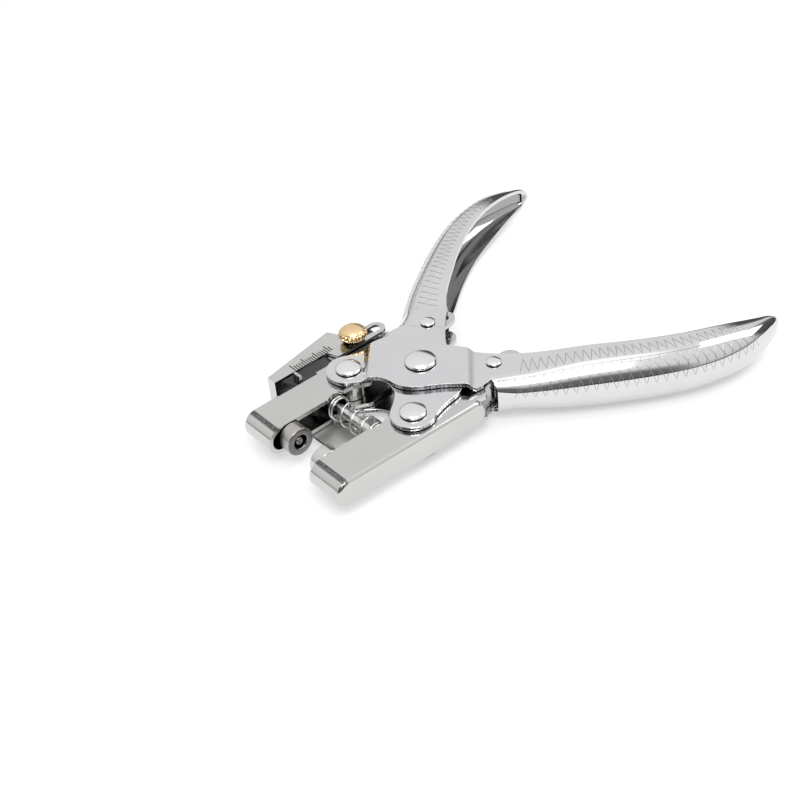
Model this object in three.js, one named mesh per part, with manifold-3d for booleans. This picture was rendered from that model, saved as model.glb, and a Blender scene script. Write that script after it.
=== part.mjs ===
// Eyelet pliers: two parallel jaws worked by crossed handles, with a setting punch, a die and a depth gauge.
// Millimetres, Z up. The tool lies flat: X runs from the nose to the grips, Y is the way the jaws open,
// and the pivots stand along Z. The origin is under the main pivot, on the surface that its rivet rests on.
import * as THREE from 'three';
import { mergeVertices } from 'three/addons/utils/BufferGeometryUtils.js';
import Module from 'manifold-3d';

const wasm = await Module();
wasm.setup();

// Clearances
const fit_gap = 0.3;
const overrun = 3;
const weld_reach = 0.0001;

// Linkage: each pivot's distance from the main one along and across the tool, and each handle's closing turn
const pivot_reach = 18.2;
const pivot_side = 16.8;
const close_angle = THREE.MathUtils.degToRad(15);

// Jaws
const jaw_sheet = 1.5;
const jaw_height = 10.3;
const jaw_outer = 25.7;
const jaw_inner = 10.8;
const jaw_nose = 57.5;
const jaw_heel = 4.6;
const nose_radius = 3.4;
const heel_radius = 4.6;
const jaw_edge_radius = 1.6;
const bridge_inner = 7.4;
const bridge_length = 3.2;
const bridge_slope = 3.2;
const tail_half = 4;
const tail_rim = 2.2;

// Handles
const handle_sheet = 1.5;
const handle_reach = 110.3;
const grip_half_height = 9.9;
const grip_edge_radius = 5;
const grip_lean = THREE.MathUtils.degToRad(-1.3);
const ear_radius = 7.8;
const hub_radius = 14;
const joggle_front = 18;
const joggle_rear = 16;
const joggle_run = 1.8;

// Rivets: shank radius, head radius, dome and foot heights
const main_shank = 3;
const main_head = 5.5;
const main_dome = 1.8;
const main_foot = 1.2;
const jaw_shank = 2.4;
const jaw_head = 4.5;
const jaw_dome = 1.4;
const jaw_foot = 1.1;
const slide_shank = 1.6;
const slide_head = 2.65;
const slide_dome = 1;
const slide_foot = 0.9;
const spacer_wall = 1.3;
const jaw_spacer_wall = 2.1;

// Punch and die
const tool_reach = 48.7;
const punch_face = 5.3;
const punch_radius = 5.1;
const punch_bore = 2.6;
const punch_bore_depth = 5.5;
const punch_pin_radius = 1.5;
const punch_pin_inset = 0.4;
const punch_pin_length = 12;
const die_face = 6;
const die_radius = 5.1;
const die_bore = 1.8;
const die_bore_depth = 9;
const die_groove_radius = 2.9;
const die_groove_depth = 0.5;
const tool_shank = 3.3;
const tool_chamfer = 0.5;

// Return spring and its guide
const spring_reach = 28.8;
const spring_radius = 3.8;
const spring_wire = 1.1;
const spring_turns = 6.5;
const spring_end_pitch = 1.75;
const spring_notch = 1;
const notch_radius = 6.2;
const guide_radius = 1.6;
const guide_head = 2.7;
const guide_head_height = 0.8;
const guide_tip = 12.4;

// Depth gauge
const gauge_sheet = 1;
const gauge_front = 39.3;
const gauge_inner = 29.7;
const gauge_front_width = 4.1;
const gauge_rear = 9.8;
const gauge_rear_width = 9.8;
const gauge_step = 17.4;
const gauge_slope = 1.6;
const gauge_foot_end = 3;
const gauge_foot_rear = 27.2;
const slot_line = 28.7;
const slot_plate_half = 3.4;
const slot_half = 1.65;
const slot_travel = 10.2;
const slot_spare = 2.5;
const bracket_sheet = 1.2;
const bracket_drop = 7;
const bracket_front = 18;
const bracket_rear = 3;
const bracket_leg_rear = 9.2;
const pointer_reach = 32;
const pointer_width = 1;

// Thumb screw and its nut
const thumb_reach = 6.2;
const thumb_radius = 4.9;
const thumb_collar = 2.6;
const thumb_collar_height = 0.9;
const thumb_taper = 1.1;
const thumb_skirt = 1.9;
const thumb_dome = 1.4;
const thumb_shank = 1.3;
const thumb_teeth = 24;
const thumb_tooth_depth = 0.35;
const nut_radius = 2.5;
const nut_height = 2;

// Levels, all measured from the middle plane of the tool
const jaw_top = jaw_height / 2;
const jaw_floor = jaw_top - jaw_sheet;
const plate_low = jaw_top + fit_gap;
const plate_top = plate_low + handle_sheet;
const hub_low = plate_top + fit_gap;
const hub_top = hub_low + handle_sheet;
const main_seat = hub_top + fit_gap;
const jaw_seat = plate_top + fit_gap;
const rest_height = main_seat + main_foot;
const gauge_low = jaw_top + fit_gap + fit_gap / 2;
const gauge_top = gauge_low + gauge_sheet;
const shelf_top = gauge_low - fit_gap;
const shelf_low = shelf_top - bracket_sheet;

// Places that follow from the linkage
const web_inner = jaw_outer - jaw_sheet;
const closed_reach = pivot_reach * Math.cos(close_angle) + pivot_side * Math.sin(close_angle);
const pin_slide = 2 * (closed_reach - pivot_reach);
const tail_end = pivot_reach + pin_slide + slide_shank + fit_gap + tail_rim;
const bracket_inner = jaw_outer + fit_gap;
const shelf_outer = slot_line + slot_plate_half;

// Shape of one grip, as shares of the handle's reach: outer edge, then inner edge, each along and across
const grip_shares = [
  [0.101, 0.238, 0.205, 0.12], [0.158, 0.286, 0.254, 0.17], [0.238, 0.353, 0.318, 0.241],
  [0.325, 0.416, 0.397, 0.303], [0.422, 0.481, 0.475, 0.364], [0.519, 0.539, 0.554, 0.418],
  [0.618, 0.587, 0.641, 0.469], [0.707, 0.614, 0.72, 0.504], [0.798, 0.626, 0.798, 0.532],
  [0.871, 0.619, 0.859, 0.55], [0.934, 0.607, 0.912, 0.561], [0.977, 0.592, 0.954, 0.567],
  [1, 0.58, 0.985, 0.565],
];
// How far each station has swelled from the plate's height to the grip's, and its share of the edge radius
const swell_shares = [0, 0, 0.56, 0.92, 1, 1, 0.93, 0.8, 0.52, 0.1, -0.33, -0.72, -1.05];
const edge_shares = [0.36, 0.46, 0.82, 1.04, 1.04, 0.96, 0.9, 0.8, 0.66, 0.52, 0.44, 0.36, 0.26];
// The plate between the ear and the grip, as shares of the hub's radius: far side, then near side
const far_side_shares = [
  [-0.5, -1.5], [-0.05, -1.43], [0.25, -1.27], [0.46, -0.86], [0.6, -0.6], [0.9, -0.05], [1.12, 0.32],
];
const near_side_shares = [
  [0.36, 1.62], [0.12, 1.35], [-0.27, 0.99], [-0.65, 0.71], [-0.89, 0.46], [-0.99, 0.2], [-1.01, -0.03],
  [-1.1, -0.28], [-1.3, -0.5],
];
const dome_shares = [1, 0.8, 0.6, 0.4, 0.2];
const grip_bend_share = 0.8;
const rim_share = 0.25;

// Steps of the grips' loft and of the plates' outline, and the stations kept solid at a grip's tip
const grip_steps = 30;
const plate_steps = 76;
const tip_stations = 3;

// The volume inside a closed skin, negative where its faces point inwards
function enclosed(geometry) {
  const places = geometry.attributes.position;
  const order = geometry.index.array;
  const [a, b, c] = [new THREE.Vector3(), new THREE.Vector3(), new THREE.Vector3()];
  let volume = 0;
  for (let face = 0; face < order.length; face += 3) {
    a.fromBufferAttribute(places, order[face]);
    b.fromBufferAttribute(places, order[face + 1]);
    c.fromBufferAttribute(places, order[face + 2]);
    volume += a.dot(b.cross(c));
  }
  return volume;
}

// Turns a closed geometry into a solid with its faces out, which can be joined and cut
function solid(geometry) {
  const bare = geometry.index ? geometry.toNonIndexed() : geometry.clone();
  bare.deleteAttribute('normal');
  bare.deleteAttribute('uv');
  const merged = mergeVertices(bare, weld_reach);
  const order = new Uint32Array(merged.index.array);
  if (enclosed(merged) < 0) {
    for (let face = 0; face < order.length; face += 3) {
      [order[face], order[face + 1]] = [order[face + 1], order[face]];
    }
  }
  return new wasm.Manifold(new wasm.Mesh({
    numProp: 3,
    vertProperties: new Float32Array(merged.attributes.position.array),
    triVerts: order,
  }));
}

// Turns a solid back into a geometry
function geometry_of(shape) {
  const out = shape.getMesh();
  const geometry = new THREE.BufferGeometry();
  geometry.setAttribute('position', new THREE.BufferAttribute(new Float32Array(out.vertProperties), 3));
  geometry.setIndex(new THREE.BufferAttribute(new Uint32Array(out.triVerts), 1));
  geometry.computeVertexNormals();
  return geometry;
}

const joined = (first, ...rest) => rest.reduce((sum, next) => sum.add(next), first);
const cut_by = (body, ...tools) => tools.reduce((left, tool) => left.subtract(tool), body);

// A flat outline in plan, raised from one level to another
function slab(points, low, high) {
  const shape = new THREE.Shape(points.map(([x, y]) => new THREE.Vector2(x, y)));
  const geometry = new THREE.ExtrudeGeometry(shape, { depth: high - low, bevelEnabled: false });
  return solid(geometry.translate(0, 0, low));
}

// An outline in the plane of X and Z, run from one place to another along Y
function side_slab(points, near, far) {
  const shape = new THREE.Shape(points.map(([x, z]) => new THREE.Vector2(x, z)));
  const geometry = new THREE.ExtrudeGeometry(shape, { depth: far - near, bevelEnabled: false });
  return solid(geometry.rotateX(Math.PI / 2).translate(0, far, 0));
}

// An outline in the plane of Y and Z, run from one place to another along X
function front_slab(points, low, high) {
  const shape = new THREE.Shape(points.map(([y, z]) => new THREE.Vector2(y, z)));
  const geometry = new THREE.ExtrudeGeometry(shape, { depth: high - low, bevelEnabled: false });
  return solid(geometry.rotateZ(Math.PI / 2).rotateY(Math.PI / 2).translate(low, 0, 0));
}

// A body turned about Z from a profile of radius and height
function turned(profile, x, y, sides) {
  const points = profile.map(([radius, z]) => new THREE.Vector2(radius, z));
  const geometry = new THREE.LatheGeometry(points, sides).rotateX(Math.PI / 2);
  return solid(geometry.translate(x, y, 0));
}

// A body turned about Y from a profile of radius and place along Y
function turned_across(profile, x, sides) {
  const points = profile.map(([radius, y]) => new THREE.Vector2(radius, y));
  return solid(new THREE.LatheGeometry(points, sides).translate(x, 0, 0));
}

// A plain round bar or hole along Z
function bar(radius, x, y, low, high, sides = 24) {
  const geometry = new THREE.CylinderGeometry(radius, radius, high - low, sides).rotateX(Math.PI / 2);
  return solid(geometry.translate(x, y, (low + high) / 2));
}

// Points of an arc about a centre, angles in degrees
function arc(x, y, radius, start, end, steps) {
  return Array.from({ length: steps + 1 }, (_, step) => {
    const angle = THREE.MathUtils.degToRad(start + (end - start) * step / steps);
    return [x + radius * Math.cos(angle), y + radius * Math.sin(angle)];
  });
}

// A closed smooth outline through the points given
function smooth(points, steps) {
  const places = points.map(([x, y]) => new THREE.Vector3(x, y, 0));
  const curve = new THREE.CatmullRomCurve3(places, true, 'centripetal');
  return curve.getPoints(steps).slice(0, steps).map((place) => [place.x, place.y]);
}

// Mirrors an outline to the chosen side of the tool
const to_side = (points, side) => points.map(([x, y]) => [x, y * side]);

// A closed solid through a row of sections that have the same number of points
function lofted(sections) {
  const count = sections[0].length;
  const positions = sections.flat(2);
  const faces = [];
  sections.slice(1).forEach((_, row) => {
    for (let step = 0; step < count; step += 1) {
      const next = (step + 1) % count;
      const [near, far] = [row * count, (row + 1) * count];
      faces.push(near + step, near + next, far + step);
      faces.push(near + next, far + next, far + step);
    }
  });
  const last = (sections.length - 1) * count;
  for (let step = 1; step < count - 1; step += 1) {
    faces.push(0, step + 1, step);
    faces.push(last, last + step, last + step + 1);
  }
  const geometry = new THREE.BufferGeometry();
  geometry.setAttribute('position', new THREE.BufferAttribute(new Float32Array(positions), 3));
  geometry.setIndex(faces);
  return solid(geometry);
}

// One cross-section of a grip: rounded at its outer edge, flat at its inner one
function grip_section(outer, inner, half, radius) {
  const across = [outer[0] - inner[0], outer[1] - inner[1]];
  const width = Math.hypot(...across);
  const [ux, uy] = across.map((part) => part / width);
  const bend = Math.min(radius, width * grip_bend_share, half * grip_bend_share);
  const place = (along, z) => [inner[0] + ux * along, inner[1] + uy * along, z];
  const top = arc(width - bend, half - bend, bend, 90, 0, 5).map(([along, z]) => place(along, z));
  const low = arc(width - bend, bend - half, bend, 0, -90, 5).map(([along, z]) => place(along, z));
  return [place(0, half), ...top, ...low, place(0, -half)];
}

// The stations along a grip, smoothed between the ones given and leaned about the main pivot
function grip_stations(side) {
  const lines = [0, 1].map((edge) => {
    const places = grip_shares.map((row) => new THREE.Vector3(row[edge * 2], row[edge * 2 + 1] * side, 0));
    return new THREE.CatmullRomCurve3(places, false, 'centripetal');
  });
  const levels = new THREE.CatmullRomCurve3(
    grip_shares.map((_, row) => new THREE.Vector3(row, swell_shares[row], edge_shares[row])));
  const up = new THREE.Vector3(0, 0, 1);
  return Array.from({ length: grip_steps + 1 }, (_, step) => {
    const share = step / grip_steps;
    const [outer, inner] = lines.map((line) => {
      return line.getPoint(share).multiplyScalar(handle_reach).applyAxisAngle(up, grip_lean);
    });
    const tangent = lines[0].getTangent(share).applyAxisAngle(up, grip_lean);
    const level = levels.getPoint(share);
    return {
      outer: [outer.x, outer.y],
      inner: [inner.x, inner.y],
      normal: [-tangent.y * side, tangent.x * side],
      half: plate_top + (grip_half_height - plate_top) * level.y,
      radius: grip_edge_radius * level.z,
    };
  });
}

// The hollow of a grip: every wall set in by the sheet, and the inner side left open
function grip_hollow(stations) {
  const open = stations.slice(0, -tip_stations).map(({ outer, inner, normal, half, radius }) => {
    const wall = [outer[0] - normal[0] * handle_sheet, outer[1] - normal[1] * handle_sheet];
    const away = [inner[0] - wall[0], inner[1] - wall[1]];
    const stretch = 1 + overrun / Math.hypot(...away);
    const mouth = [wall[0] + away[0] * stretch, wall[1] + away[1] * stretch];
    return grip_section(wall, mouth, half - handle_sheet, Math.max(radius - handle_sheet, fit_gap));
  });
  const lead = open[0].map(([x, y, z], point) => [2 * x - open[1][point][0], 2 * y - open[1][point][1], z]);
  return lofted([lead, ...open]);
}

// The outline of a handle's plate: ear, far side, start of the grip, near side
function plate_outline(side, stations) {
  const hub = (shares) => shares.map(([x, y]) => [x * hub_radius, y * hub_radius]);
  const unside = ([x, y]) => [x, y * side];
  const ear = arc(-pivot_reach, -pivot_side, ear_radius, 140, 310, 8);
  const grip_inner = [stations[0], stations[2], stations[3]].map((station) => unside(station.inner));
  const grip_outer = [stations[3], stations[1], stations[0]].map(({ outer, normal, radius }) => {
    return unside([outer[0] - normal[0] * radius, outer[1] - normal[1] * radius]);
  });
  const far_line = [...hub(far_side_shares), ...grip_inner];
  const near_line = [...grip_outer, ...hub(near_side_shares)];
  const corners = [...ear, ...far_line, ...near_line];
  return to_side(smooth(corners, plate_steps), side);
}

// Where the joggled plate runs high over the hub and low at its ends, as a band across the tool
function joggled_band(side) {
  const span = Math.hypot(pivot_reach, pivot_side);
  const far = handle_reach;
  const front = -joggle_front - joggle_run;
  const rear = joggle_rear + joggle_run;
  const rise = side_slab([
    [-far, plate_low], [front, plate_low], [-joggle_front, hub_low], [joggle_rear, hub_low],
    [rear, plate_low], [far, plate_low], [far, plate_top], [rear, plate_top],
    [joggle_rear, hub_top], [-joggle_front, hub_top], [front, plate_top], [-far, plate_top],
  ], -far, far);
  return rise.rotate([0, 0, THREE.MathUtils.radToDeg(Math.asin(side * pivot_side / span))]);
}

// One handle: a flat and a joggled plate, and a channel-shaped grip with a closed round tip.
// Both handles are the same piece: the second one is turned over, so its joggled plate is below.
function handle(side) {
  const stations = grip_stations(side);
  const sections = stations.map(({ outer, inner, half, radius }) => grip_section(outer, inner, half, radius));
  const outline = plate_outline(side, stations);
  const joggled = slab(outline, -hub_top, hub_top).intersect(joggled_band(side));
  const plates = side < 0
    ? joggled.add(slab(outline, -plate_top, -plate_low))
    : joggled.mirror([0, 0, 1]).add(slab(outline, plate_low, plate_top));
  return cut_by(
    lofted(sections).subtract(grip_hollow(stations)).add(plates),
    bar(main_shank + fit_gap, 0, 0, -rest_height, rest_height),
    bar(jaw_shank + fit_gap, -pivot_reach, -pivot_side * side, -rest_height, rest_height),
    bar(slide_shank + fit_gap, pivot_reach, pivot_side * side, -rest_height, rest_height, 16),
  );
}

// The pressed pan of a jaw, before its tail is joined: rounded nose and heel, open towards the middle
function jaw_pan(side, inset, heel) {
  const top = jaw_top - inset;
  const bend = nose_radius - inset;
  const back = heel_radius - inset;
  const front = -jaw_nose + inset;
  const ends = [
    ...arc(front + bend, top - bend, bend, 180, 90, 5),
    ...arc(heel - back, top - back, back, 90, 0, 5),
    ...arc(heel - back, back - top, back, 0, -90, 5),
    ...arc(front + bend, bend - top, bend, 270, 180, 5),
  ];
  const outer = jaw_outer - inset;
  const edge = jaw_edge_radius - inset;
  const open = jaw_inner - inset * overrun;
  const cross = [
    [open, top], ...arc(outer - edge, top - edge, edge, 90, 0, 4),
    ...arc(outer - edge, edge - top, edge, 0, -90, 4), [open, -top],
  ];
  const near = side > 0 ? open : -outer;
  const far = side > 0 ? outer : -open;
  const section = cross.map(([y, z]) => [y * side, z]);
  return side_slab(ends, near, far).intersect(front_slab(section, front, heel + overrun));
}

// Both flanges' bridge to the middle and their tails, which reach into the opposite handle
function jaw_tail(side) {
  const bridge_front = -pivot_reach - tail_rim;
  const bridge_rear = bridge_front + bridge_length;
  const tail_inner = pivot_side - tail_half;
  const outline = [
    [bridge_front - tail_rim, jaw_inner + tail_rim], [bridge_front, bridge_inner],
    [bridge_rear, bridge_inner], [bridge_rear + bridge_slope, tail_inner],
    ...arc(tail_end - tail_half, pivot_side, tail_half, -90, 90, 8),
    [jaw_heel - heel_radius, pivot_side + tail_half],
    [bridge_front - tail_rim, pivot_side + tail_half],
  ];
  const shape = to_side(outline, side);
  return joined(slab(shape, jaw_floor, jaw_top), slab(shape, -jaw_top, -jaw_floor));
}

// One jaw, cut for its rivet, for the pin that slides in its tail and for the spring's seat
function jaw(side) {
  const hollow = jaw_pan(side, jaw_sheet, jaw_heel + heel_radius + overrun);
  const slot_radius = slide_shank + fit_gap;
  const slot = [
    ...arc(pivot_reach, pivot_side * side, slot_radius, 90, 270, 6),
    ...arc(pivot_reach + pin_slide, pivot_side * side, slot_radius, -90, 90, 6),
  ];
  const notch = (jaw_inner + spring_notch - notch_radius) * side;
  return cut_by(
    jaw_pan(side, 0, jaw_heel).subtract(hollow).add(jaw_tail(side)),
    bar(jaw_shank + fit_gap, -pivot_reach, pivot_side * side, -jaw_height, jaw_height),
    slab(slot, -jaw_height, jaw_height),
    bar(notch_radius, -spring_reach, notch, -jaw_height, jaw_height, 36),
  );
}

// The punch jaw has a hole in its web for the guide's riveted end
function punch_jaw() {
  const hole = guide_radius / 2 + fit_gap;
  const span = [[0, web_inner - jaw_sheet], [hole, web_inner - jaw_sheet], [hole, jaw_outer + jaw_sheet]];
  return jaw(1).subtract(turned_across([...span, [0, jaw_outer + jaw_sheet]], -spring_reach, 16));
}

// A rivet: flat formed foot below, shank, and domed head above
function rivet(shank, head, dome, foot, seat, x, y, sides) {
  const rim = foot * rim_share;
  const round = dome_shares.map((share) => {
    return [head * Math.sin(share * Math.PI / 2), seat + rim + (dome - rim) * Math.cos(share * Math.PI / 2)];
  });
  return turned([
    [0, -seat - foot], [head - rim, -seat - foot], [head, -seat - foot + rim], [head, -seat],
    [shank, -seat], [shank, seat], [head, seat], ...round, [0, seat + dome],
  ], x, y, sides);
}

// A bush that keeps two plates apart around a shank
function spacer(shank, wall, half, x, y) {
  const bore = shank + fit_gap;
  const rim = bore + wall;
  return turned([[bore, -half], [rim, -half], [rim, half], [bore, half], [bore, -half]], x, y, 24);
}

// The punch holder: a shouldered barrel seated on the jaw's flanges, bored for its pin
function punch_holder() {
  const shoulder = jaw_inner - fit_gap;
  const seat = web_inner - fit_gap;
  const pin_bore = punch_pin_radius + fit_gap;
  const bore_end = punch_face + punch_bore_depth;
  const pin_end = punch_face + punch_pin_inset + punch_pin_length + fit_gap;
  return turned_across([
    [0, pin_end], [pin_bore, pin_end], [pin_bore, bore_end], [punch_bore, bore_end], [punch_bore, punch_face],
    [punch_radius - tool_chamfer, punch_face], [punch_radius, punch_face + tool_chamfer],
    [punch_radius, shoulder], [tool_shank, shoulder], [tool_shank, seat], [0, seat],
  ], -tool_reach, 28);
}

// The pin inside the punch holder, with a tapered nose
function punch_pin() {
  const tip = punch_face + punch_pin_inset;
  const end = tip + punch_pin_length;
  return turned_across([
    [0, tip], [punch_pin_radius - tool_chamfer, tip], [punch_pin_radius, tip + tool_chamfer],
    [punch_pin_radius, end], [0, end],
  ], -tool_reach, 16);
}

// The setting die: a shouldered barrel with a bore and a groove that curls the eyelet
function setting_die() {
  const shoulder = fit_gap - jaw_inner;
  const seat = fit_gap - web_inner;
  const floor = -die_face - die_bore_depth;
  const groove = -die_face - die_groove_depth;
  return turned_across([
    [0, floor], [die_bore, floor], [die_bore, groove], [die_groove_radius - die_groove_depth, groove],
    [die_groove_radius, -die_face], [die_radius - tool_chamfer, -die_face],
    [die_radius, -die_face - tool_chamfer],
    [die_radius, shoulder], [tool_shank, shoulder], [tool_shank, seat], [0, seat],
  ], -tool_reach, 28);
}

// The rod inside the spring, riveted through the punch jaw's web
function guide_post() {
  const neck = guide_radius / 2;
  const seat = web_inner - fit_gap;
  const cap = jaw_outer + fit_gap;
  return turned_across([
    [0, -guide_tip], [guide_radius - tool_chamfer, -guide_tip], [guide_radius, tool_chamfer - guide_tip],
    [guide_radius, seat], [neck, seat], [neck, cap], [guide_head, cap], [guide_head, cap + guide_head_height],
    [0, cap + guide_head_height],
  ], -spring_reach, 20);
}

// The return spring: one unbroken tube, closer wound at its ends, seated in the notches of both jaws
function return_spring() {
  const seat = jaw_inner + spring_notch - fit_gap;
  const wire = spring_wire / 2;
  const steps_per_turn = 8;
  const sides = 5;
  const steps = Math.round(spring_turns * steps_per_turn);
  const ends = seat - spring_wire;
  const middle_turns = spring_turns - 2;
  const middle_span = 2 * (ends - spring_end_pitch);
  const rise = (turn) => {
    if (turn < 1) return ends - turn * spring_end_pitch;
    if (turn > spring_turns - 1) return -ends + (spring_turns - turn) * spring_end_pitch;
    return ends - spring_end_pitch - (turn - 1) / middle_turns * middle_span;
  };
  const line = Array.from({ length: steps + 1 }, (_, step) => {
    const turn = step / steps_per_turn;
    const angle = turn * 2 * Math.PI;
    const across = spring_radius * Math.cos(angle) - spring_reach;
    return new THREE.Vector3(across, rise(turn), spring_radius * Math.sin(angle));
  });
  const start = line[0].clone().setY(seat - wire);
  const end = line[steps].clone().setY(wire - seat);
  const route = [start, ...line, end];
  const sections = route.map((place, step) => {
    const before = route[Math.max(step - 1, 0)];
    const after = route[Math.min(step + 1, route.length - 1)];
    const way = after.clone().sub(before).normalize();
    const outward = new THREE.Vector3(place.x + spring_reach, 0, place.z).normalize();
    const up = way.clone().cross(outward).normalize();
    const out = up.clone().cross(way);
    return arc(0, 0, wire, 0, 360 * (sides - 1) / sides, sides - 1).map(([across, lift]) => {
      return place.clone().addScaledVector(out, across).addScaledVector(up, lift).toArray();
    });
  });
  const clear = least_gap(line, steps_per_turn, spring_wire);
  console.log(`return_spring: least gap to itself ${clear.toFixed(2)} mm`);
  return lofted(sections);
}

// The least clear space between two turns of a wound tube, measured on points between its steps
function least_gap(line, steps_per_turn, thickness) {
  const fine = new THREE.CatmullRomCurve3(line).getPoints(line.length * 4);
  const apart = steps_per_turn * 2;
  let least = Infinity;
  fine.forEach((place, index) => {
    fine.slice(index + apart).forEach((other) => {
      least = Math.min(least, place.distanceTo(other) - thickness);
    });
  });
  return least;
}

// The gauge's sliding ruler: a tapered strip with a slotted arm, walls down from its front and outer
// edges, and a foot that crosses under the jaws
function depth_gauge() {
  const front = -gauge_front - gauge_sheet;
  const outer = gauge_inner + gauge_front_width;
  const far = gauge_inner + gauge_rear_width;
  const near_side = slot_line - slot_plate_half;
  const slot_end = slot_travel - thumb_reach;
  const foot_top = -jaw_top - fit_gap - fit_gap / 2;
  const foot_low = foot_top - gauge_sheet;
  const sheet = slab([
    [front, gauge_inner], [-gauge_step, gauge_inner], [gauge_slope - gauge_step, near_side],
    ...arc(slot_end, slot_line, slot_plate_half, -90, 90, 10),
    [-thumb_reach, slot_line + slot_plate_half], [-gauge_rear, far], [front, outer],
  ], gauge_low, gauge_top);
  const walls = slab([
    [front, gauge_inner], [-gauge_front, gauge_inner], [-gauge_front, outer - gauge_sheet],
    [-gauge_rear, far - gauge_sheet], [-gauge_rear, far], [front, outer],
  ], foot_low, gauge_top);
  const lean = (far - outer) / (gauge_front + gauge_sheet - gauge_rear);
  const foot_outer = outer + lean * (gauge_front + gauge_sheet - gauge_foot_rear);
  const foot = slab([
    [front, -gauge_foot_end], [-gauge_foot_rear, -gauge_foot_end], [-gauge_foot_rear, foot_outer],
    [front, outer],
  ], foot_low, foot_top);
  const slot = slab([
    ...arc(-thumb_reach - slot_spare, slot_line, slot_half, 90, 270, 8),
    ...arc(slot_end, slot_line, slot_half, -90, 90, 8),
  ], gauge_low - overrun, gauge_top + overrun);
  return joined(sheet, walls, foot).subtract(slot);
}

// The bracket on the punch jaw's web that carries the ruler and takes the thumb screw
function gauge_bracket() {
  const shelf = slab([
    [-bracket_front, bracket_inner], [bracket_rear, bracket_inner], [bracket_rear, shelf_outer],
    [-bracket_front, shelf_outer],
  ], shelf_low, shelf_top);
  const leg = slab([
    [-bracket_front, bracket_inner], [-bracket_leg_rear, bracket_inner],
    [-bracket_leg_rear, bracket_inner + bracket_sheet],
    [-bracket_front, bracket_inner + bracket_sheet],
  ], shelf_top - bracket_drop, shelf_top);
  const hole = bar(thumb_shank + fit_gap, -thumb_reach, slot_line, shelf_low - overrun, gauge_top, 16);
  return shelf.add(leg).subtract(hole);
}

// The small pointer on the punch jaw that reads the ruler
function gauge_pointer() {
  const tip = gauge_inner - fit_gap;
  const base = guide_head + fit_gap;
  return side_slab([
    [-pointer_reach - pointer_width, base], [-pointer_reach + pointer_width, base],
    [-pointer_reach + pointer_width / 2, gauge_top], [-pointer_reach - pointer_width / 2, gauge_top],
  ], bracket_inner, tip);
}

// The thumb screw: domed top, toothed skirt that narrows below, collar, and a shank through the slot
function thumb_screw() {
  const seat = gauge_top + fit_gap;
  const end = shelf_low - fit_gap - nut_height - tool_chamfer;
  const neck = thumb_radius - thumb_tooth_depth * 2;
  const skirt = seat + thumb_collar_height + thumb_taper;
  const brim = skirt + thumb_skirt;
  const round = dome_shares.map((share) => {
    return [neck * Math.sin(share * Math.PI / 2), brim + thumb_dome * Math.cos(share * Math.PI / 2)];
  });
  const body = turned([
    [0, end], [thumb_shank, end], [thumb_shank, seat], [thumb_collar, seat],
    [thumb_collar, skirt - thumb_taper], [neck - thumb_tooth_depth, skirt - thumb_taper], [neck, skirt],
    ...round, [0, brim + thumb_dome],
  ], -thumb_reach, slot_line, 32);
  const teeth = Array.from({ length: thumb_teeth * 2 }, (_, step) => {
    const radius = thumb_radius - (step % 2) * thumb_tooth_depth;
    const angle = step * Math.PI / thumb_teeth;
    return [radius * Math.cos(angle) - thumb_reach, radius * Math.sin(angle) + slot_line];
  });
  return body.add(slab(teeth, skirt, brim));
}

// The six-sided nut under the bracket
function clamp_nut() {
  const high = shelf_low - fit_gap;
  const place = [-thumb_reach, slot_line];
  const hole = bar(thumb_shank + fit_gap, ...place, high - nut_height - overrun, high + overrun, 16);
  return bar(nut_radius, ...place, high - nut_height, high, 6).subtract(hole);
}

// Materials
function finish(color, roughness, metalness) {
  return new THREE.MeshStandardMaterial({ color, roughness, metalness });
}

const nickel = () => finish(0xb9b7b0, 0.28, 1);
const chrome = () => finish(0xd7d9dc, 0.12, 1);
const bright_steel = () => finish(0xe2e3e4, 0.2, 1);
const dark_steel = () => finish(0x6d6b68, 0.35, 1);
const spring_steel = () => finish(0xc9c8c4, 0.25, 1);
const brass = () => finish(0xd9a441, 0.25, 1);

const pliers = new THREE.Group();
pliers.position.z = rest_height;

function place(name, shape, material) {
  const mesh = new THREE.Mesh(geometry_of(shape), material);
  mesh.name = name;
  pliers.add(mesh);
}

place('punch_jaw', punch_jaw(), nickel());
place('die_jaw', jaw(-1), nickel());
place('die_side_handle', handle(-1), chrome());
place('punch_side_handle', handle(1), chrome());
place('main_rivet', rivet(main_shank, main_head, main_dome, main_foot, main_seat, 0, 0, 32), bright_steel());
for (const [name, side] of [['punch_jaw', 1], ['die_jaw', -1]]) {
  const at = [-pivot_reach, pivot_side * side];
  place(name + '_rivet', rivet(jaw_shank, jaw_head, jaw_dome, jaw_foot, jaw_seat, ...at, 28), bright_steel());
  place(name + '_spacer', spacer(jaw_shank, jaw_spacer_wall, jaw_floor - fit_gap, ...at), dark_steel());
}
for (const [name, side] of [['punch_slide_pin', 1], ['die_slide_pin', -1]]) {
  const at = [pivot_reach, pivot_side * side];
  place(name, rivet(slide_shank, slide_head, slide_dome, slide_foot, jaw_seat, ...at, 20), bright_steel());
}
place('main_spacer', spacer(main_shank, spacer_wall, jaw_top, 0, 0), dark_steel());
place('punch_holder', punch_holder(), dark_steel());
place('punch_pin', punch_pin(), dark_steel());
place('setting_die', setting_die(), nickel());
place('guide_post', guide_post(), bright_steel());
place('return_spring', return_spring(), spring_steel());
place('depth_gauge', depth_gauge(), nickel());
place('gauge_bracket', gauge_bracket(), nickel());
place('gauge_pointer', gauge_pointer(), dark_steel());
place('thumb_screw', thumb_screw(), brass());
place('clamp_nut', clamp_nut(), brass());

export default pliers;
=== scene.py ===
# Eyelet pliers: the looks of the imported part, with its studio and camera.
import math

import bmesh
import bpy
from mathutils import Matrix, Vector


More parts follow.
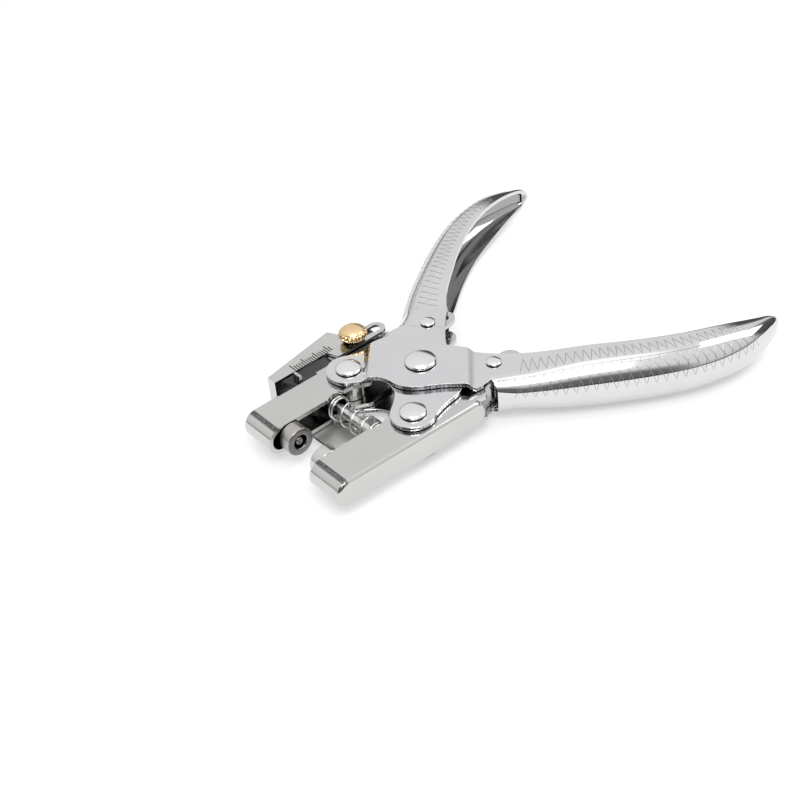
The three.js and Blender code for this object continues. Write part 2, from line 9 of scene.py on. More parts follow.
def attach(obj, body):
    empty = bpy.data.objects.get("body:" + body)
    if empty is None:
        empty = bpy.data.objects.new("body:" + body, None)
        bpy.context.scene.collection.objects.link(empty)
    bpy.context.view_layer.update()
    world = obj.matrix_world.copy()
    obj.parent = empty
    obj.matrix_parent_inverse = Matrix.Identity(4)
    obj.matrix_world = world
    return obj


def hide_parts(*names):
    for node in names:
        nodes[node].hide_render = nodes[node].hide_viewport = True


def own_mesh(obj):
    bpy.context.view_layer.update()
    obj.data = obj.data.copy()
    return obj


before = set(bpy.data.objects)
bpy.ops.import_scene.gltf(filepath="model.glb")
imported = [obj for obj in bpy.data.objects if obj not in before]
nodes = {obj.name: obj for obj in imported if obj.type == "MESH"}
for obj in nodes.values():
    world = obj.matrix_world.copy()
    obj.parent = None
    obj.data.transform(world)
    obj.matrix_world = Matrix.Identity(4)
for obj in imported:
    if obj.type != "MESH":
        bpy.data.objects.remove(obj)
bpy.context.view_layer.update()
MM = 0.001
TINY = 1e-6

# Camera: how the photograph was taken, in degrees, pixels and metres
PICTURE = 800
FOCAL = 1381
CENTRE = (379, 334)
AZIMUTH, ELEVATION, ROLL = -36.38, 36.11, -6.39
AWAY = 469.6 * MM
ASIDE = (14.2 * MM, -10.8 * MM)
AIM_HEIGHT = 17.2 * MM
SENSOR = 36
CLIP_RATIO = 100

# Linkage and handle plates, here and below in millimetres
PIVOT_REACH, PIVOT_SIDE = 18.2, 16.8
CLOSE_ANGLE = math.radians(15)
CLEAR = 0.3
SHEET = 1.5
REST = 10.25
PLATE_LOW, PLATE_TOP, PLATE_BREAK = 5.45, 6.95, 0.28
HUB_LIFT = 1.8
HUB_RADIUS = 14
EAR_RADIUS, EAR_START, EAR_END = 7.8, 140, 310
JOGGLE_FRONT, JOGGLE_REAR, JOGGLE_RUN = 17, 15.5, 3.2

# Outline of a plate round the hub, in hub radii, on its far side and on its near side
FAR_SIDE = (
    (-0.5, -1.5), (-0.05, -1.43), (0.25, -1.27), (0.46, -0.86), (0.6, -0.6), (0.9, -0.05), (1.12, 0.32),
)
NEAR_SIDE = (
    (0.36, 1.62), (0.12, 1.35), (-0.27, 0.99), (-0.65, 0.71), (-0.89, 0.46), (-0.99, 0.2), (-1.01, -0.03),
    (-1.1, -0.28), (-1.3, -0.5),
)

# Shape of one grip, as shares of the handle's reach: outer edge, then inner edge, each along and across
HANDLE_REACH = 110.3
GRIP_SHARES = (
    (0.101, 0.238, 0.205, 0.12), (0.158, 0.286, 0.254, 0.17), (0.238, 0.353, 0.318, 0.241),
    (0.325, 0.416, 0.397, 0.303), (0.422, 0.481, 0.475, 0.364), (0.519, 0.539, 0.554, 0.418),
    (0.618, 0.587, 0.641, 0.469), (0.707, 0.614, 0.72, 0.504), (0.798, 0.626, 0.798, 0.532),
    (0.871, 0.619, 0.859, 0.55), (0.934, 0.607, 0.912, 0.561), (0.977, 0.592, 0.954, 0.567),
    (1, 0.58, 0.985, 0.565),
)

# Its half height and the radius of its outer roll, with the share of each that is left along the grip
GRIP_HALF, GRIP_EDGE, GRIP_BREAK = 9.9, 9.9, 0.3
SWELL_SHARES = (0, 0, 0.56, 0.92, 1, 1, 0.93, 0.8, 0.52, 0.1, -0.33, -0.72, -1.05)
EDGE_SHARES = (0.5, 0.72, 0.93, 0.95, 0.95, 0.95, 0.95, 0.88, 0.74, 0.6, 0.52, 0.46, 0.4)
GRIP_LEAN = math.radians(-1.3)
GRIP_BEND_SHARE = 0.94
SKIN_LIFT = 0.03
LEAST_BEND = 0.3

# How the grip's tip is drawn in and closed, and how its front corner is rounded
HOLLOW_END = 0.985
TIP_ROUND = 4.5
TIP_FALL, TIP_OUTER, TIP_INNER = 0.6, 0.4, 0.15
TIP_BEND_SHARE, TIP_LEAST_BEND = 0.9, 0.8
TIP_CLOSING = (0.3, 0.7)
FRONT_ROUND, FRONT_FADE, FRONT_LEVEL = 3, 7, 0.45

# Embossed rows: shares of the grip's length, pitch and reach across; then the ridges themselves
TOP_ROW, TOP_PITCH, TOP_LOW, TOP_HIGH = (0.07, 0.82), 3.1, 0.25, 0.86
EDGE_ROW, EDGE_PITCH, EDGE_END = (0.05, 0.84), 6.8, 1.5
CREASE_ROW, CREASE_ARC = (0, 0.93), 0.45
RIDGE_RADIUS, RIDGE_SINK = 0.14, 0.07

# Jaws, their slotted tails and the notch round the spring
JAW_INNER, JAW_OUTER, JAW_TOP = 10.8, 25.7, 5.15
JAW_NOSE, JAW_HEEL = 57.5, 4.6
NOSE_ROUND, HEEL_ROUND, JAW_EDGE, JAW_BREAK = 5, 4.6, 1.6, 0.3
JAW_FLARE, FLARE_START = 0.033, 46
TAIL_HALF, TAIL_RIM = 4, 2.2
NOTCH_DEPTH, NOTCH_ROUND, NOTCH_END, NOTCH_STEPS = 1, 6.2, 354, 59

# A jaw flange's inner edge round the rivet, and its outer edge towards the tail
BRIDGE = ((-26, 10.8), (-23.5, 10.75), (-21.6, 10.3), (-19.6, 9.3), (-17.8, 8.2), (-16.2, 7.6), (-14.6, 8.6))
SHOULDER = ((12.5, 20.8), (9.5, 21.6), (7.6, 23.4), (6.6, 25.4), (5.4, 26.2), (2, 25.4), (-26, 25.4))

# Rivets: radii of shank and head, heights of dome and foot
PIN_SHANK = 1.6
JAW_RIVET, SLIDE_PIN = (2.4, 4.5, 1.4, 1.1), (PIN_SHANK, 2.65, 1, 0.9)
RIM_SHARE, RIM_STEP, RIM_RISE, RIVET_ROUND, CORNER_SHARE = 0.3, 0.1, 0.12, 0.35, 2.2

# Name, body, place, sizes and lift of each rivet
RIVETS = (
    ("main_rivet", "punch_side_handle", (0, 0), (3, 5.5, 1.8, 1.2), HUB_LIFT),
    ("punch_jaw_rivet", "punch_jaw", (-PIVOT_REACH, PIVOT_SIDE), JAW_RIVET, 0),
    ("die_jaw_rivet", "die_jaw", (-PIVOT_REACH, -PIVOT_SIDE), JAW_RIVET, 0),
    ("punch_slide_pin", "punch_side_handle", (PIVOT_REACH, PIVOT_SIDE), SLIDE_PIN, 0),
    ("die_slide_pin", "die_side_handle", (PIVOT_REACH, -PIVOT_SIDE), SLIDE_PIN, 0),
)

# Punch holder and die, and the punch pin with its cupped point and thread as shares of pitch and depth
TOOL_REACH, TOOL_RADIUS, TOOL_SHANK = 48.7, 5.1, 3.3
PUNCH_FACE, PUNCH_BORE, PUNCH_BORE_DEPTH, PUNCH_ROUND = 5.3, 2.6, 5.5, 0.4
DIE_FACE, DIE_BORE, DIE_BORE_DEPTH, DIE_ROUND = 6, 1.8, 9, 0.35
DIE_GROOVE, DIE_LIP, DIE_CURL = 2.9, 0.25, (0.5, 0.55)
PIN_RADIUS, PIN_TIP, PIN_TAIL = 1.5, 5.7, 1
PIN_POINT = ((0, 0.5), (0.45, 0.35), (0.6, 0), (1.05, 0), (1.3, 0.25))
THREAD_START, THREAD_TURNS, THREAD_PITCH, THREAD_DEPTH = 0.5, 9, 0.5, 0.2
THREAD_SHAPE = ((0, 0), (0.3, 0), (0.6, 1), (0.75, 1))

# Return spring and the post inside it
SPRING_REACH, SPRING_RADIUS, SPRING_WIRE, SPRING_TURNS = 28.8, 3.98, 0.72, 6.5
SPRING_END, SPRING_END_PITCH, SPRING_ENDS, SPRING_KEEP = 11.5, 1.15, 1.5, 0.52
GUIDE_RADIUS, GUIDE_TIP, GUIDE_HEAD = 1.6, 12.4, 2.7
GUIDE_RIM, GUIDE_DOME, GUIDE_ROUND = 0.25, 0.55, 0.45

# Thumb screw; its wall as radius past the neck, height over the seat and share of the teeth's depth
THUMB_PLACE = (-6.2, 28.7)
THUMB_RADIUS, THUMB_TOOTH, THUMB_TEETH, TOOTH_WIDTH = 5.5, 0.62, 20, 1.3
THUMB_END, THUMB_SHANK, THUMB_COLLAR, THUMB_COLLAR_HEIGHT = -0.5, 1.3, 2.6, 0.9
THUMB_UNDERCUT, THUMB_DOME, THUMB_ROUND = 0.3, 1.4, 0.2
THUMB_WALL = ((0.1, 1.75, 0.25), (0.22, 2, 1), (0.24, 3.55, 1), (0.1, 3.9, 0.2))

# Ruler marks, and the gauge's foot, which steps down under the plates
GAUGE_TOP, GAUGE_INNER = 6.6, 29.7
RULER_MARKS, RULER_START, RULER_PITCH, RULER_GROUP = 17, -31, 1, 5
RULER_LONG, RULER_SHORT, RULER_WIDE, RULER_THICK, RULER_SINK = 4, 2.7, 0.46, 0.1, 0.02
FOOT_TOP, FOOT_SHEET, FOOT_BREAK = -5.58, 1.04, 0.15
FOOT_STEP, FOOT_STEP_RUN, FOOT_DROP = -28.8, 1.6, 1.55
FOOT = (
    (-40.3, 12), (-40.3, -11), (-23.4, -11), (-23.4, -6.2), (-22.4, -3.2), (-20.4, -1.5), (-18.6, -1),
    (-18.3, 3), (-19.2, 6.2), (-21.8, 8.5), (-26, 9.4), (-30, 12),
)

# Metal of the imported solids and the rounding of their edges; all others stay sharp and take a dark metal,
# painted shade for the tool's interior
SOLIDS = {
    "punch_jaw": ("pressed_nickel", 0.35), "die_jaw": ("pressed_nickel", 0.35),
    "depth_gauge": ("gauge_nickel", 0.22), "gauge_bracket": ("nickel", 0.2),
    "gauge_pointer": ("nickel", 0.25), "clamp_nut": ("brass", 0.25), "main_spacer": ("interior_shade_fittings", 0.2),
    "punch_jaw_spacer": ("nickel", 0.2), "die_jaw_spacer": ("nickel", 0.2),
}

# Fineness of the meshes, rounds of evening out, and the angles in degrees at which edges are treated
STATIONS, FINE_STATIONS, GRIP_STEPS, ARC_STEPS, FLAT_STEPS = 150, 400, 30, 14, 7
PLATE_POINTS, EAR_STEPS, JOGGLE_CUTS, CORNER_STEPS, FOOT_STEPS = 260, 8, 9, 10, 30
RIDGE_STEPS, RIDGE_SIDES, SPRING_STEPS, SPRING_SIDES = 8, 6, 36, 10
AROUND, TOOL_AROUND, POST_AROUND, TOOTH_STEPS = 96, 112, 64, 10
EASE_WEIGHT, LINE_ROUNDS, SIZE_ROUNDS = 2, 40, 60
BREAK_ANGLE, SOLID_ANGLE, FLAT_ANGLE, SMOOTH_ANGLE = 50, 40, 1.5, 38
SHADE_WEIGHT, TURNED_WEIGHT = 80, 70

# Metals: bump depth, noise as detail and roughness, and ranges of normals or noise that masks span
RELIEF_DEPTH = 0.02
STREAK_NOISE, PATCH_NOISE, PATCH_SCALE = (4, 0.6), (3, 0.55), 60
STREAK_SHARE, PATCH_SPAN, POLISH_SPAN = 0.5, (0.3, 0.7, 0, 0.5), (0.2, 0.8)
# Painted shade in recesses and between parts: ambient occlusion reach, the span of it that darkens, and its
# samples
PAINTED_SHADE_REACH, PAINTED_SHADE_SPAN, PAINTED_SHADE_SAMPLES = 7, (0.12, 0.5), 6
BAND_LEVEL, BAND_GRAIN, BAND_NOISE = 0.1, 2600, (2, 0.6)
BAND_START, BAND_STOP, BAND_UP, BAND_LINES = (-0.06, -0.11), (-0.5, -0.4), (0.3, 0.6), (0.38, 0.55, 0.55, 1)
# Spans of normals whose walls get painted shade, facing the die's side and facing the grips
DIE_SPAN, GRIP_SPAN = (-0.3, -0.7), (0.3, 0.7)
CUT_GRAIN, CUT_NOISE, CUT_LINES, CUT_UPRIGHT = (1900, 1900, 130), (2, 0.5), (0.35, 0.65), (0.45, 0.12)
CUT_DARK, CUT_LIGHT = (0.16, 0.16, 0.17, 1), (0.66, 0.66, 0.67, 1)

# Each metal: dark and light tone, range of roughness, grain along X, Y and Z, bump, and its own marks, among
# them levels of painted shade and the painted dark reflection round a jaw's nose
TOOL_CENTRE = (-TOOL_REACH, 0, REST)
METALS = {
    "chrome": ((0.66, 0.662, 0.672), (0.71, 0.712, 0.72), (0.05, 0.1), (60, 900, 900), 0.15,
        {"inside": 0.55}),
    "chrome_sheet": ((0.65, 0.652, 0.665), (0.71, 0.712, 0.722), (0.08, 0.16), (70, 500, 500), 0.2,
        {"sheared": True}),
    "nickel": ((0.56, 0.555, 0.545), (0.64, 0.635, 0.625), (0.1, 0.2), (110, 1500, 700), 0.18,
        {"painted_shade": 0.4}),
    "pressed_nickel": ((0.57, 0.565, 0.555), (0.62, 0.615, 0.605), (0.1, 0.17), (110, 900, 700), 0.12,
        {"painted_shade": 0.5, "band": True}),
    "gauge_nickel": ((0.57, 0.57, 0.56), (0.64, 0.635, 0.63), (0.1, 0.18), (400, 400, 400), 0.15,
        {"painted_shade": 0.35, "painted_side_shade": 0.18}),
    "foot_nickel": ((0.58, 0.575, 0.565), (0.64, 0.635, 0.625), (0.42, 0.55), (200, 200, 200), 0.1,
        {"painted_shade": 1}),
    "bright_steel": ((0.72, 0.72, 0.72), (0.84, 0.84, 0.84), (0.07, 0.15), (500, 500, 500), 0.2, {}),
    "embossed": ((0.3, 0.3, 0.31), (0.42, 0.42, 0.43), (0.2, 0.3), (500, 500, 500), 0.1, {}),
    "dark_steel": ((0.36, 0.35, 0.34), (0.6, 0.585, 0.57), (0.2, 0.34), (4200, 900, 1), 0.5,
        {"rings": TOOL_CENTRE, "painted_side_shade": 0.5}),
    "turned_nickel": ((0.55, 0.54, 0.53), (0.72, 0.71, 0.7), (0.14, 0.24), (4200, 900, 1), 0.4,
        {"rings": TOOL_CENTRE}),
    # Dark metal for the interior fittings, painted shade where the tool's inside lies in shadow
    "interior_shade_fittings": ((0.28, 0.275, 0.27), (0.4, 0.39, 0.38), (0.25, 0.42), (900, 900, 500), 0.4, {}),
    "spring_steel": ((0.62, 0.61, 0.6), (0.8, 0.79, 0.78), (0.22, 0.34), (1200, 1200, 1200), 0.2,
        {"painted_shade": 0.3}),
    "brass": ((0.72, 0.48, 0.22), (0.9, 0.7, 0.42), (0.24, 0.36), (300, 300, 2400), 0.25, {"painted_shade": 0.35}),
    "ruler_paint": ((0.015, 0.015, 0.015), (0.05, 0.048, 0.045), (0.5, 0.6), (900, 900, 900), 0.2,
        {"metallic": 0}),
}

# Studio: sky brightness by height, patches of the sky by direction, inner and outer angle, and level
SKY_STOPS = (
    (0, 0.12), (0.03, 0.1), (0.09, 0.7), (0.3, 0.86), (0.5, 0.9), (0.6, 0.92), (0.93, 1.0), (0.97, 1.5),
    (1, 1.6),
)
SKY_PATCHES = (
    ((0.82, 0.55, 0.12), 13, 23, 0.12), ((-0.85, -0.25, 0.42), 16, 30, 0.12),
    ((0.93, -0.25, 0.2), 14, 27, 0.12), ((-0.45, -0.85, 0.2), 12, 30, 0.2),
)

# Lamps: place and size in metres, and power; and the floor
LAMPS = (("key", (-0.25, -0.35, 0.75), (0.5, 0.35), 4), ("fill", (0.55, -0.25, 0.5), (0.3, 0.5), 1.4))
FLOOR_SIZE, FLOOR_TONE, FLOOR_ROUGH, FLOOR_GLOW = 4, 0.9, 0.9, 0.5


def settle(item, **settings):
    """Sets several values and gives the thing back."""
    for name, value in settings.items():
        setattr(item, name, value)
    return item


# Shader and geometry nodes

def add(tree, kind, inputs, **settings):
    """Adds a node with values or other nodes' outputs as inputs, and gives its outputs."""
    item = settle(tree.nodes.new(kind), **settings)
    for name, value in inputs.items():
        if isinstance(value, bpy.types.NodeSocket):
            tree.links.new(value, item.inputs[name])
        else:
            item.inputs[name].default_value = value
    return item.outputs


def shift(tree, value, low, high, start=0.0, end=1.0, way="LINEAR"):
    """Maps a value from one range onto another."""
    inputs = {"Value": value, "From Min": low, "From Max": high, "To Min": start, "To Max": end}
    return add(tree, "ShaderNodeMapRange", inputs, interpolation_type=way)[0]


def maths(tree, way, *values):
    return add(tree, "ShaderNodeMath", dict(enumerate(values)), operation=way)[0]


def vectors(tree, way, *values):
    return add(tree, "ShaderNodeVectorMath", dict(enumerate(values)), operation=way)


def product(tree, factors):
    level = factors[0]
    for factor in factors[1:]:
        level = maths(tree, "MULTIPLY", level, factor)
    return level


def noise(tree, place, scale, detail, rough):
    inputs = {"Vector": place, "Scale": scale, "Detail": detail, "Roughness": rough}
    return add(tree, "ShaderNodeTexNoise", inputs)["Fac"]


def mixed(tree, factor, first, second, way="MIX"):
    inputs = {"Factor": factor, "A": first, "B": second}
    return add(tree, "ShaderNodeMix", inputs, data_type="RGBA", blend_type=way)["Result"]


def darkened(tree, colour, mask, level):
    """Takes a colour down to a share of itself where the mask is 1."""
    return mixed(tree, mask, colour, (level, level, level, 1), "MULTIPLY")


# Camera, floor and light

def linked(name, data):
    """A new object in the scene."""
    item = bpy.data.objects.new(name, data)
    bpy.context.scene.collection.objects.link(item)
    return item


def make_camera():
    a, e, r = (math.radians(angle) for angle in (AZIMUTH, ELEVATION, ROLL))
    back = Vector((math.sin(a) * math.cos(e), -math.cos(a) * math.cos(e), math.sin(e)))
    level = Vector((math.cos(a), math.sin(a), 0))
    upright = back.cross(level)
    right = level * math.cos(r) + upright * math.sin(r)
    up = upright * math.cos(r) - level * math.sin(r)
    data = bpy.data.cameras.new("camera")
    settle(data, sensor_width=SENSOR, lens=FOCAL / PICTURE * SENSOR, shift_x=0.5 - CENTRE[0] / PICTURE,
           shift_y=CENTRE[1] / PICTURE - 0.5, clip_start=AWAY / CLIP_RATIO, clip_end=AWAY * CLIP_RATIO)
    camera = linked("camera", data)
    place = back * AWAY - right * ASIDE[0] - up * ASIDE[1] + Vector((0, 0, AIM_HEIGHT))
    turn = Matrix((right, up, back)).transposed()
    camera.matrix_world = Matrix.Translation(place) @ turn.to_4x4()
    bpy.context.scene.camera = camera


def make_floor():
    """A pale floor that is brighter to see, also in reflections, than the light it throws."""
    bpy.ops.mesh.primitive_plane_add(size=FLOOR_SIZE, location=(0, 0, 0))
    floor = bpy.context.object
    floor.name = "floor"
    material = bpy.data.materials.new("floor")
    material.use_nodes = True
    tree = material.node_tree
    shader = tree.nodes["Principled BSDF"]
    shader.inputs["Base Color"].default_value = (FLOOR_TONE, FLOOR_TONE, FLOOR_TONE, 1)
    shader.inputs["Roughness"].default_value = FLOOR_ROUGH
    rays = tree.nodes.new("ShaderNodeLightPath").outputs
    seen = maths(tree, "MAXIMUM", rays["Is Camera Ray"], rays["Is Glossy Ray"])
    seen = maths(tree, "MAXIMUM", seen, rays["Is Transmission Ray"])
    glow = add(tree, "ShaderNodeEmission", {})[0]
    bright = add(tree, "ShaderNodeMixShader", {"Fac": FLOOR_GLOW, 1: shader.outputs[0], 2: glow})[0]
    final = add(tree, "ShaderNodeMixShader", {"Fac": seen, 1: shader.outputs[0], 2: bright})[0]
    tree.links.new(final, tree.nodes["Material Output"].inputs[0])
    floor.data.materials.append(material)


def area_light(name, place, size, power):
    """A lamp that faces the part's origin."""
    data = bpy.data.lights.new(name, "AREA")
    settle(data, shape="RECTANGLE", size=size[0], size_y=size[1], energy=power)
    light = linked(name, data)
    light.location = place
    light.rotation_euler = (-Vector(place)).to_track_quat("-Z", "Y").to_euler()


def sky_patch(tree, where, toward, near, far, level):
    """A factor that is 1 away from a direction and falls to level around it."""
    aim = Vector(toward).normalized()
    dot = vectors(tree, "DOT_PRODUCT", where, aim)["Value"]
    low, high = (math.cos(math.radians(angle)) for angle in (far, near))
    return shift(tree, dot, low, high, 1, level, "SMOOTHSTEP")


def make_lights():
    world = bpy.data.worlds.new("studio")
    world.use_nodes = True
    tree = world.node_tree
    ground = tree.nodes["Background"]
    where = tree.nodes.new("ShaderNodeTexCoord").outputs["Generated"]
    ramp = tree.nodes.new("ShaderNodeValToRGB")
    ramp.color_ramp.interpolation = "EASE"
    points = ramp.color_ramp.elements
    while len(points) < len(SKY_STOPS):
        points.new(0.5)
    for point, (height, grey) in zip(points, SKY_STOPS):
        point.position = height
        point.color = (grey, grey, grey, 1)
    tree.links.new(add(tree, "ShaderNodeSeparateXYZ", {0: where})["Z"], ramp.inputs[0])
    tree.links.new(ramp.outputs[0], ground.inputs["Color"])
    patches = [sky_patch(tree, where, *patch) for patch in SKY_PATCHES]
    tree.links.new(product(tree, patches), ground.inputs["Strength"])
    bpy.context.scene.world = world
    for lamp in LAMPS:
        area_light(*lamp)


# Curves and meshes

def flat(x, y):
    return Vector((x, y, 0))


def fan(x, y, radius, start, end, steps=20):
    """Points on an arc, angles in degrees."""
    angles = [math.radians(start + (end - start) * k / steps) for k in range(steps + 1)]
    return [(x + radius * math.cos(angle), y + radius * math.sin(angle)) for angle in angles]


def spline(points, closed=False):
    """The smooth curve through points: a function of a share from 0 to 1."""
    count = len(points)

    def knot(index):
        if closed:
            return points[index % count]
        if index < 0:
            return points[0] * 2 - points[1]
        if index >= count:
            return points[-1] * 2 - points[-2]
        return points[index]

    def at(share):
        place = share * (count if closed else count - 1)
        index = min(int(place), count - (1 if closed else 2))
        p = [knot(index + step) for step in (-1, 0, 1, 2)]
        gaps = [max((b - a).length, TINY) ** 0.5 for a, b in zip(p, p[1:])]
        u = place - index
        start = (p[1] - p[0]) / gaps[0] - (p[2] - p[0]) / (gaps[0] + gaps[1]) + (p[2] - p[1]) / gaps[1]
        end = (p[2] - p[1]) / gaps[1] - (p[3] - p[1]) / (gaps[1] + gaps[2]) + (p[3] - p[2]) / gaps[2]
        m0, m1 = start * gaps[1], end * gaps[1]
        rest = p[2] - p[1]
        return p[1] + m0 * u + (rest * 3 - m0 * 2 - m1) * u * u + (m0 + m1 - rest * 2) * u * u * u

    return at


def eased(rows, rounds):
    """Evens out a row of vectors, keeping its ends."""
    for _ in range(rounds):
        trios = zip(rows, rows[1:], rows[2:])
        inner = [(before + row * EASE_WEIGHT + after) / (EASE_WEIGHT + 2) for before, row, after in trios]
        rows = [rows[0], *inner, rows[-1]]
    return rows


def from_mesh(name, mesh, material):
    """One object with smooth faces."""
    for face in mesh.polygons:
        face.use_smooth = True
    mesh.materials.clear()
    mesh.materials.append(material)
    return linked(name, mesh)


def from_build(name, mesh, build, material):
    """One object from a bmesh in metres."""
    bmesh.ops.recalc_face_normals(build, faces=build.faces)
    build.to_mesh(mesh)
    build.free()
    return from_mesh(name, mesh, material)


def new_mesh(name, points, faces, material):
    """One object from points in millimetres, measured from the tool's middle plane."""
    mesh = bpy.data.meshes.new(name)
    lift = Vector((0, 0, REST))
    mesh.from_pydata([(Vector(point) + lift) * MM for point in points], [], faces)
    build = bmesh.new()
    build.from_mesh(mesh)
    return from_build(name, mesh, build, material)


def finish_mesh(name, build, material, lower=False):
    """The same from a bmesh in millimetres."""
    for vert in build.verts:
        if lower:
            vert.co.z *= -1
        vert.co = (vert.co + Vector((0, 0, REST))) * MM
    return from_build(name, bpy.data.meshes.new(name), build, material)


def cut_across(build, place, way):
    """Adds edges where a plane crosses a bmesh."""
    everything = build.verts[:] + build.edges[:] + build.faces[:]
    bmesh.ops.bisect_plane(build, geom=everything, plane_co=place, plane_no=way)


def heading(line, k):
    """The direction of a row of points at one of them."""
    return (line[min(k + 1, len(line) - 1)] - line[max(k - 1, 0)]).normalized()


def tube_faces(rows, count):
    """Quads between rings of count points each, with both ends closed."""
    faces = []
    for row in range(rows - 1):
        for step in range(count):
            after = (step + 1) % count
            low, high = row * count, (row + 1) * count
            faces.append((low + step, low + after, high + after, high + step))
    faces.append(tuple(range(count)))
    faces.append(tuple(range((rows - 1) * count, rows * count)))
    return faces


def shaded(item, weight, keep_sharp):
    """Evens the shading of large faces."""
    settle(item.modifiers.new("shading", "WEIGHTED_NORMAL"), keep_sharp=keep_sharp, weight=weight)


def rounded_edges(item, width, segments, angle):
    edge = item.modifiers.new("edges", "BEVEL")
    limit = math.radians(angle)
    return settle(edge, width=width * MM, segments=segments, limit_method="ANGLE", angle_limit=limit)


def bevelled(item, width, segments):
    """Rounds the sharp edges and evens the shading."""
    edge = rounded_edges(item, width, segments, BREAK_ANGLE)
    settle(edge, miter_outer="MITER_ARC", harden_normals=False)
    shaded(item, SHADE_WEIGHT, True)


# Handles

def leaned(point):
    c, s = math.cos(GRIP_LEAN), math.sin(GRIP_LEAN)
    return flat(point.x * c - point.y * s, point.x * s + point.y * c)


def grip_lines(side):
    outer = spline([flat(row[0], row[1] * side) * HANDLE_REACH for row in GRIP_SHARES])
    inner = spline([flat(row[2], row[3] * side) * HANDLE_REACH for row in GRIP_SHARES])
    levels = spline([Vector((k, a, b)) for k, (a, b) in enumerate(zip(SWELL_SHARES, EDGE_SHARES))])
    return outer, inner, levels


def grip_station(lines, side, share):
    outer, inner, levels = lines
    step = 0.0005
    way = outer(min(share + step, 1)) - outer(max(share - step, 0))
    way = leaned(way.normalized())
    level = levels(share)
    return {
        "outer": leaned(outer(share)), "inner": leaned(inner(share)),
        "normal": flat(-way.y * side, way.x * side),
        "half": PLATE_TOP + SKIN_LIFT + (GRIP_HALF - PLATE_TOP) * level.y, "radius": GRIP_EDGE * level.z,
    }


def between(a, b, share):
    return {key: a[key] + (b[key] - a[key]) * share for key in a}


def fine_stations(side):
    """Evenly spaced, evened-out stations along a grip."""
    lines = grip_lines(side)
    rows = [grip_station(lines, side, k / FINE_STATIONS) for k in range(FINE_STATIONS + 1)]
    lengths = [0]
    for a, b in zip(rows, rows[1:]):
        lengths.append(lengths[-1] + (b["outer"] - a["outer"]).length)
    out = []
    for k in range(STATIONS):
        want = lengths[-1] * k / (STATIONS - 1)
        index = min(next((i for i, v in enumerate(lengths) if v > want), FINE_STATIONS), FINE_STATIONS)
        gap = lengths[index] - lengths[index - 1]
        t = (want - lengths[index - 1]) / gap if gap else 0
        out.append(between(rows[index - 1], rows[index], t))
    outer = eased([row["outer"] for row in out], LINE_ROUNDS)
    inner = eased([row["inner"] for row in out], LINE_ROUNDS)
    size = eased([Vector((row["half"], row["radius"], 0)) for row in out], SIZE_ROUNDS)
    for k, row in enumerate(out):
        way = heading(outer, k)
        row.update(outer=outer[k], inner=inner[k], half=size[k].x, radius=size[k].y)
        row["normal"] = flat(-way.y * side, way.x * side)
        row["length"] = lengths[-1] * k / (STATIONS - 1)
    return out


def rounded_tip(row, left):
    """Draws a section in towards the end of the grip."""
    if left >= TIP_ROUND:
        return row
    inset = TIP_ROUND - math.sqrt(max(TIP_ROUND ** 2 - (TIP_ROUND - left) ** 2, 0))
    row = dict(row)
    row["half"] -= inset * TIP_FALL
    row["outer"] = row["outer"] - row["normal"] * inset * TIP_OUTER
    row["inner"] = row["inner"] + row["normal"] * inset * TIP_INNER
    row["radius"] = max(min(row["radius"], row["half"] * TIP_BEND_SHARE), TIP_LEAST_BEND)
    return row


def across_grip(row, inset=0):
    """Direction and width across a grip's skin, its half height and the radius of its roll."""
    across = row["outer"] - row["normal"] * inset - row["inner"]
    width, half = across.length, row["half"] - inset
    radius = max(row["radius"] - inset, LEAST_BEND)
    return across / width, width, half, min(radius, width * GRIP_BEND_SHARE, half * GRIP_BEND_SHARE)


def section(row, inset=0):
    """The skin's line from the inner upper edge, round the outer wall, to the inner lower edge."""
    u, width, half, bend = across_grip(row, inset)
    line = [((width - bend) * k / FLAT_STEPS, half) for k in range(FLAT_STEPS)]
    for k in range(ARC_STEPS + 1):
        angle = math.pi / 2 * (1 - k / ARC_STEPS)
        line.append((width - bend + bend * math.cos(angle), half - bend + bend * math.sin(angle)))
    line += [(along, -z) for along, z in reversed(line)]
    return [row["inner"] + u * along + Vector((0, 0, z)) for along, z in line]


def front_corner(rows, index, ring):
    """Lets the flanges start before the outer wall, so that the front corner of the sheet is round."""
    row = rows[index]
    fade = 1 - row["length"] / FRONT_FADE
    if fade <= 0:
        return ring
    way = (rows[1]["outer"] - rows[0]["outer"]).normalized()
    out = []
    for point in ring:
        height = abs(point.z) / row["half"]
        back = max(height - FRONT_LEVEL, 0) / (1 - FRONT_LEVEL)
        out.append(point - way * FRONT_ROUND * fade * (1 - math.sqrt(max(1 - back * back, 0))))
    return out


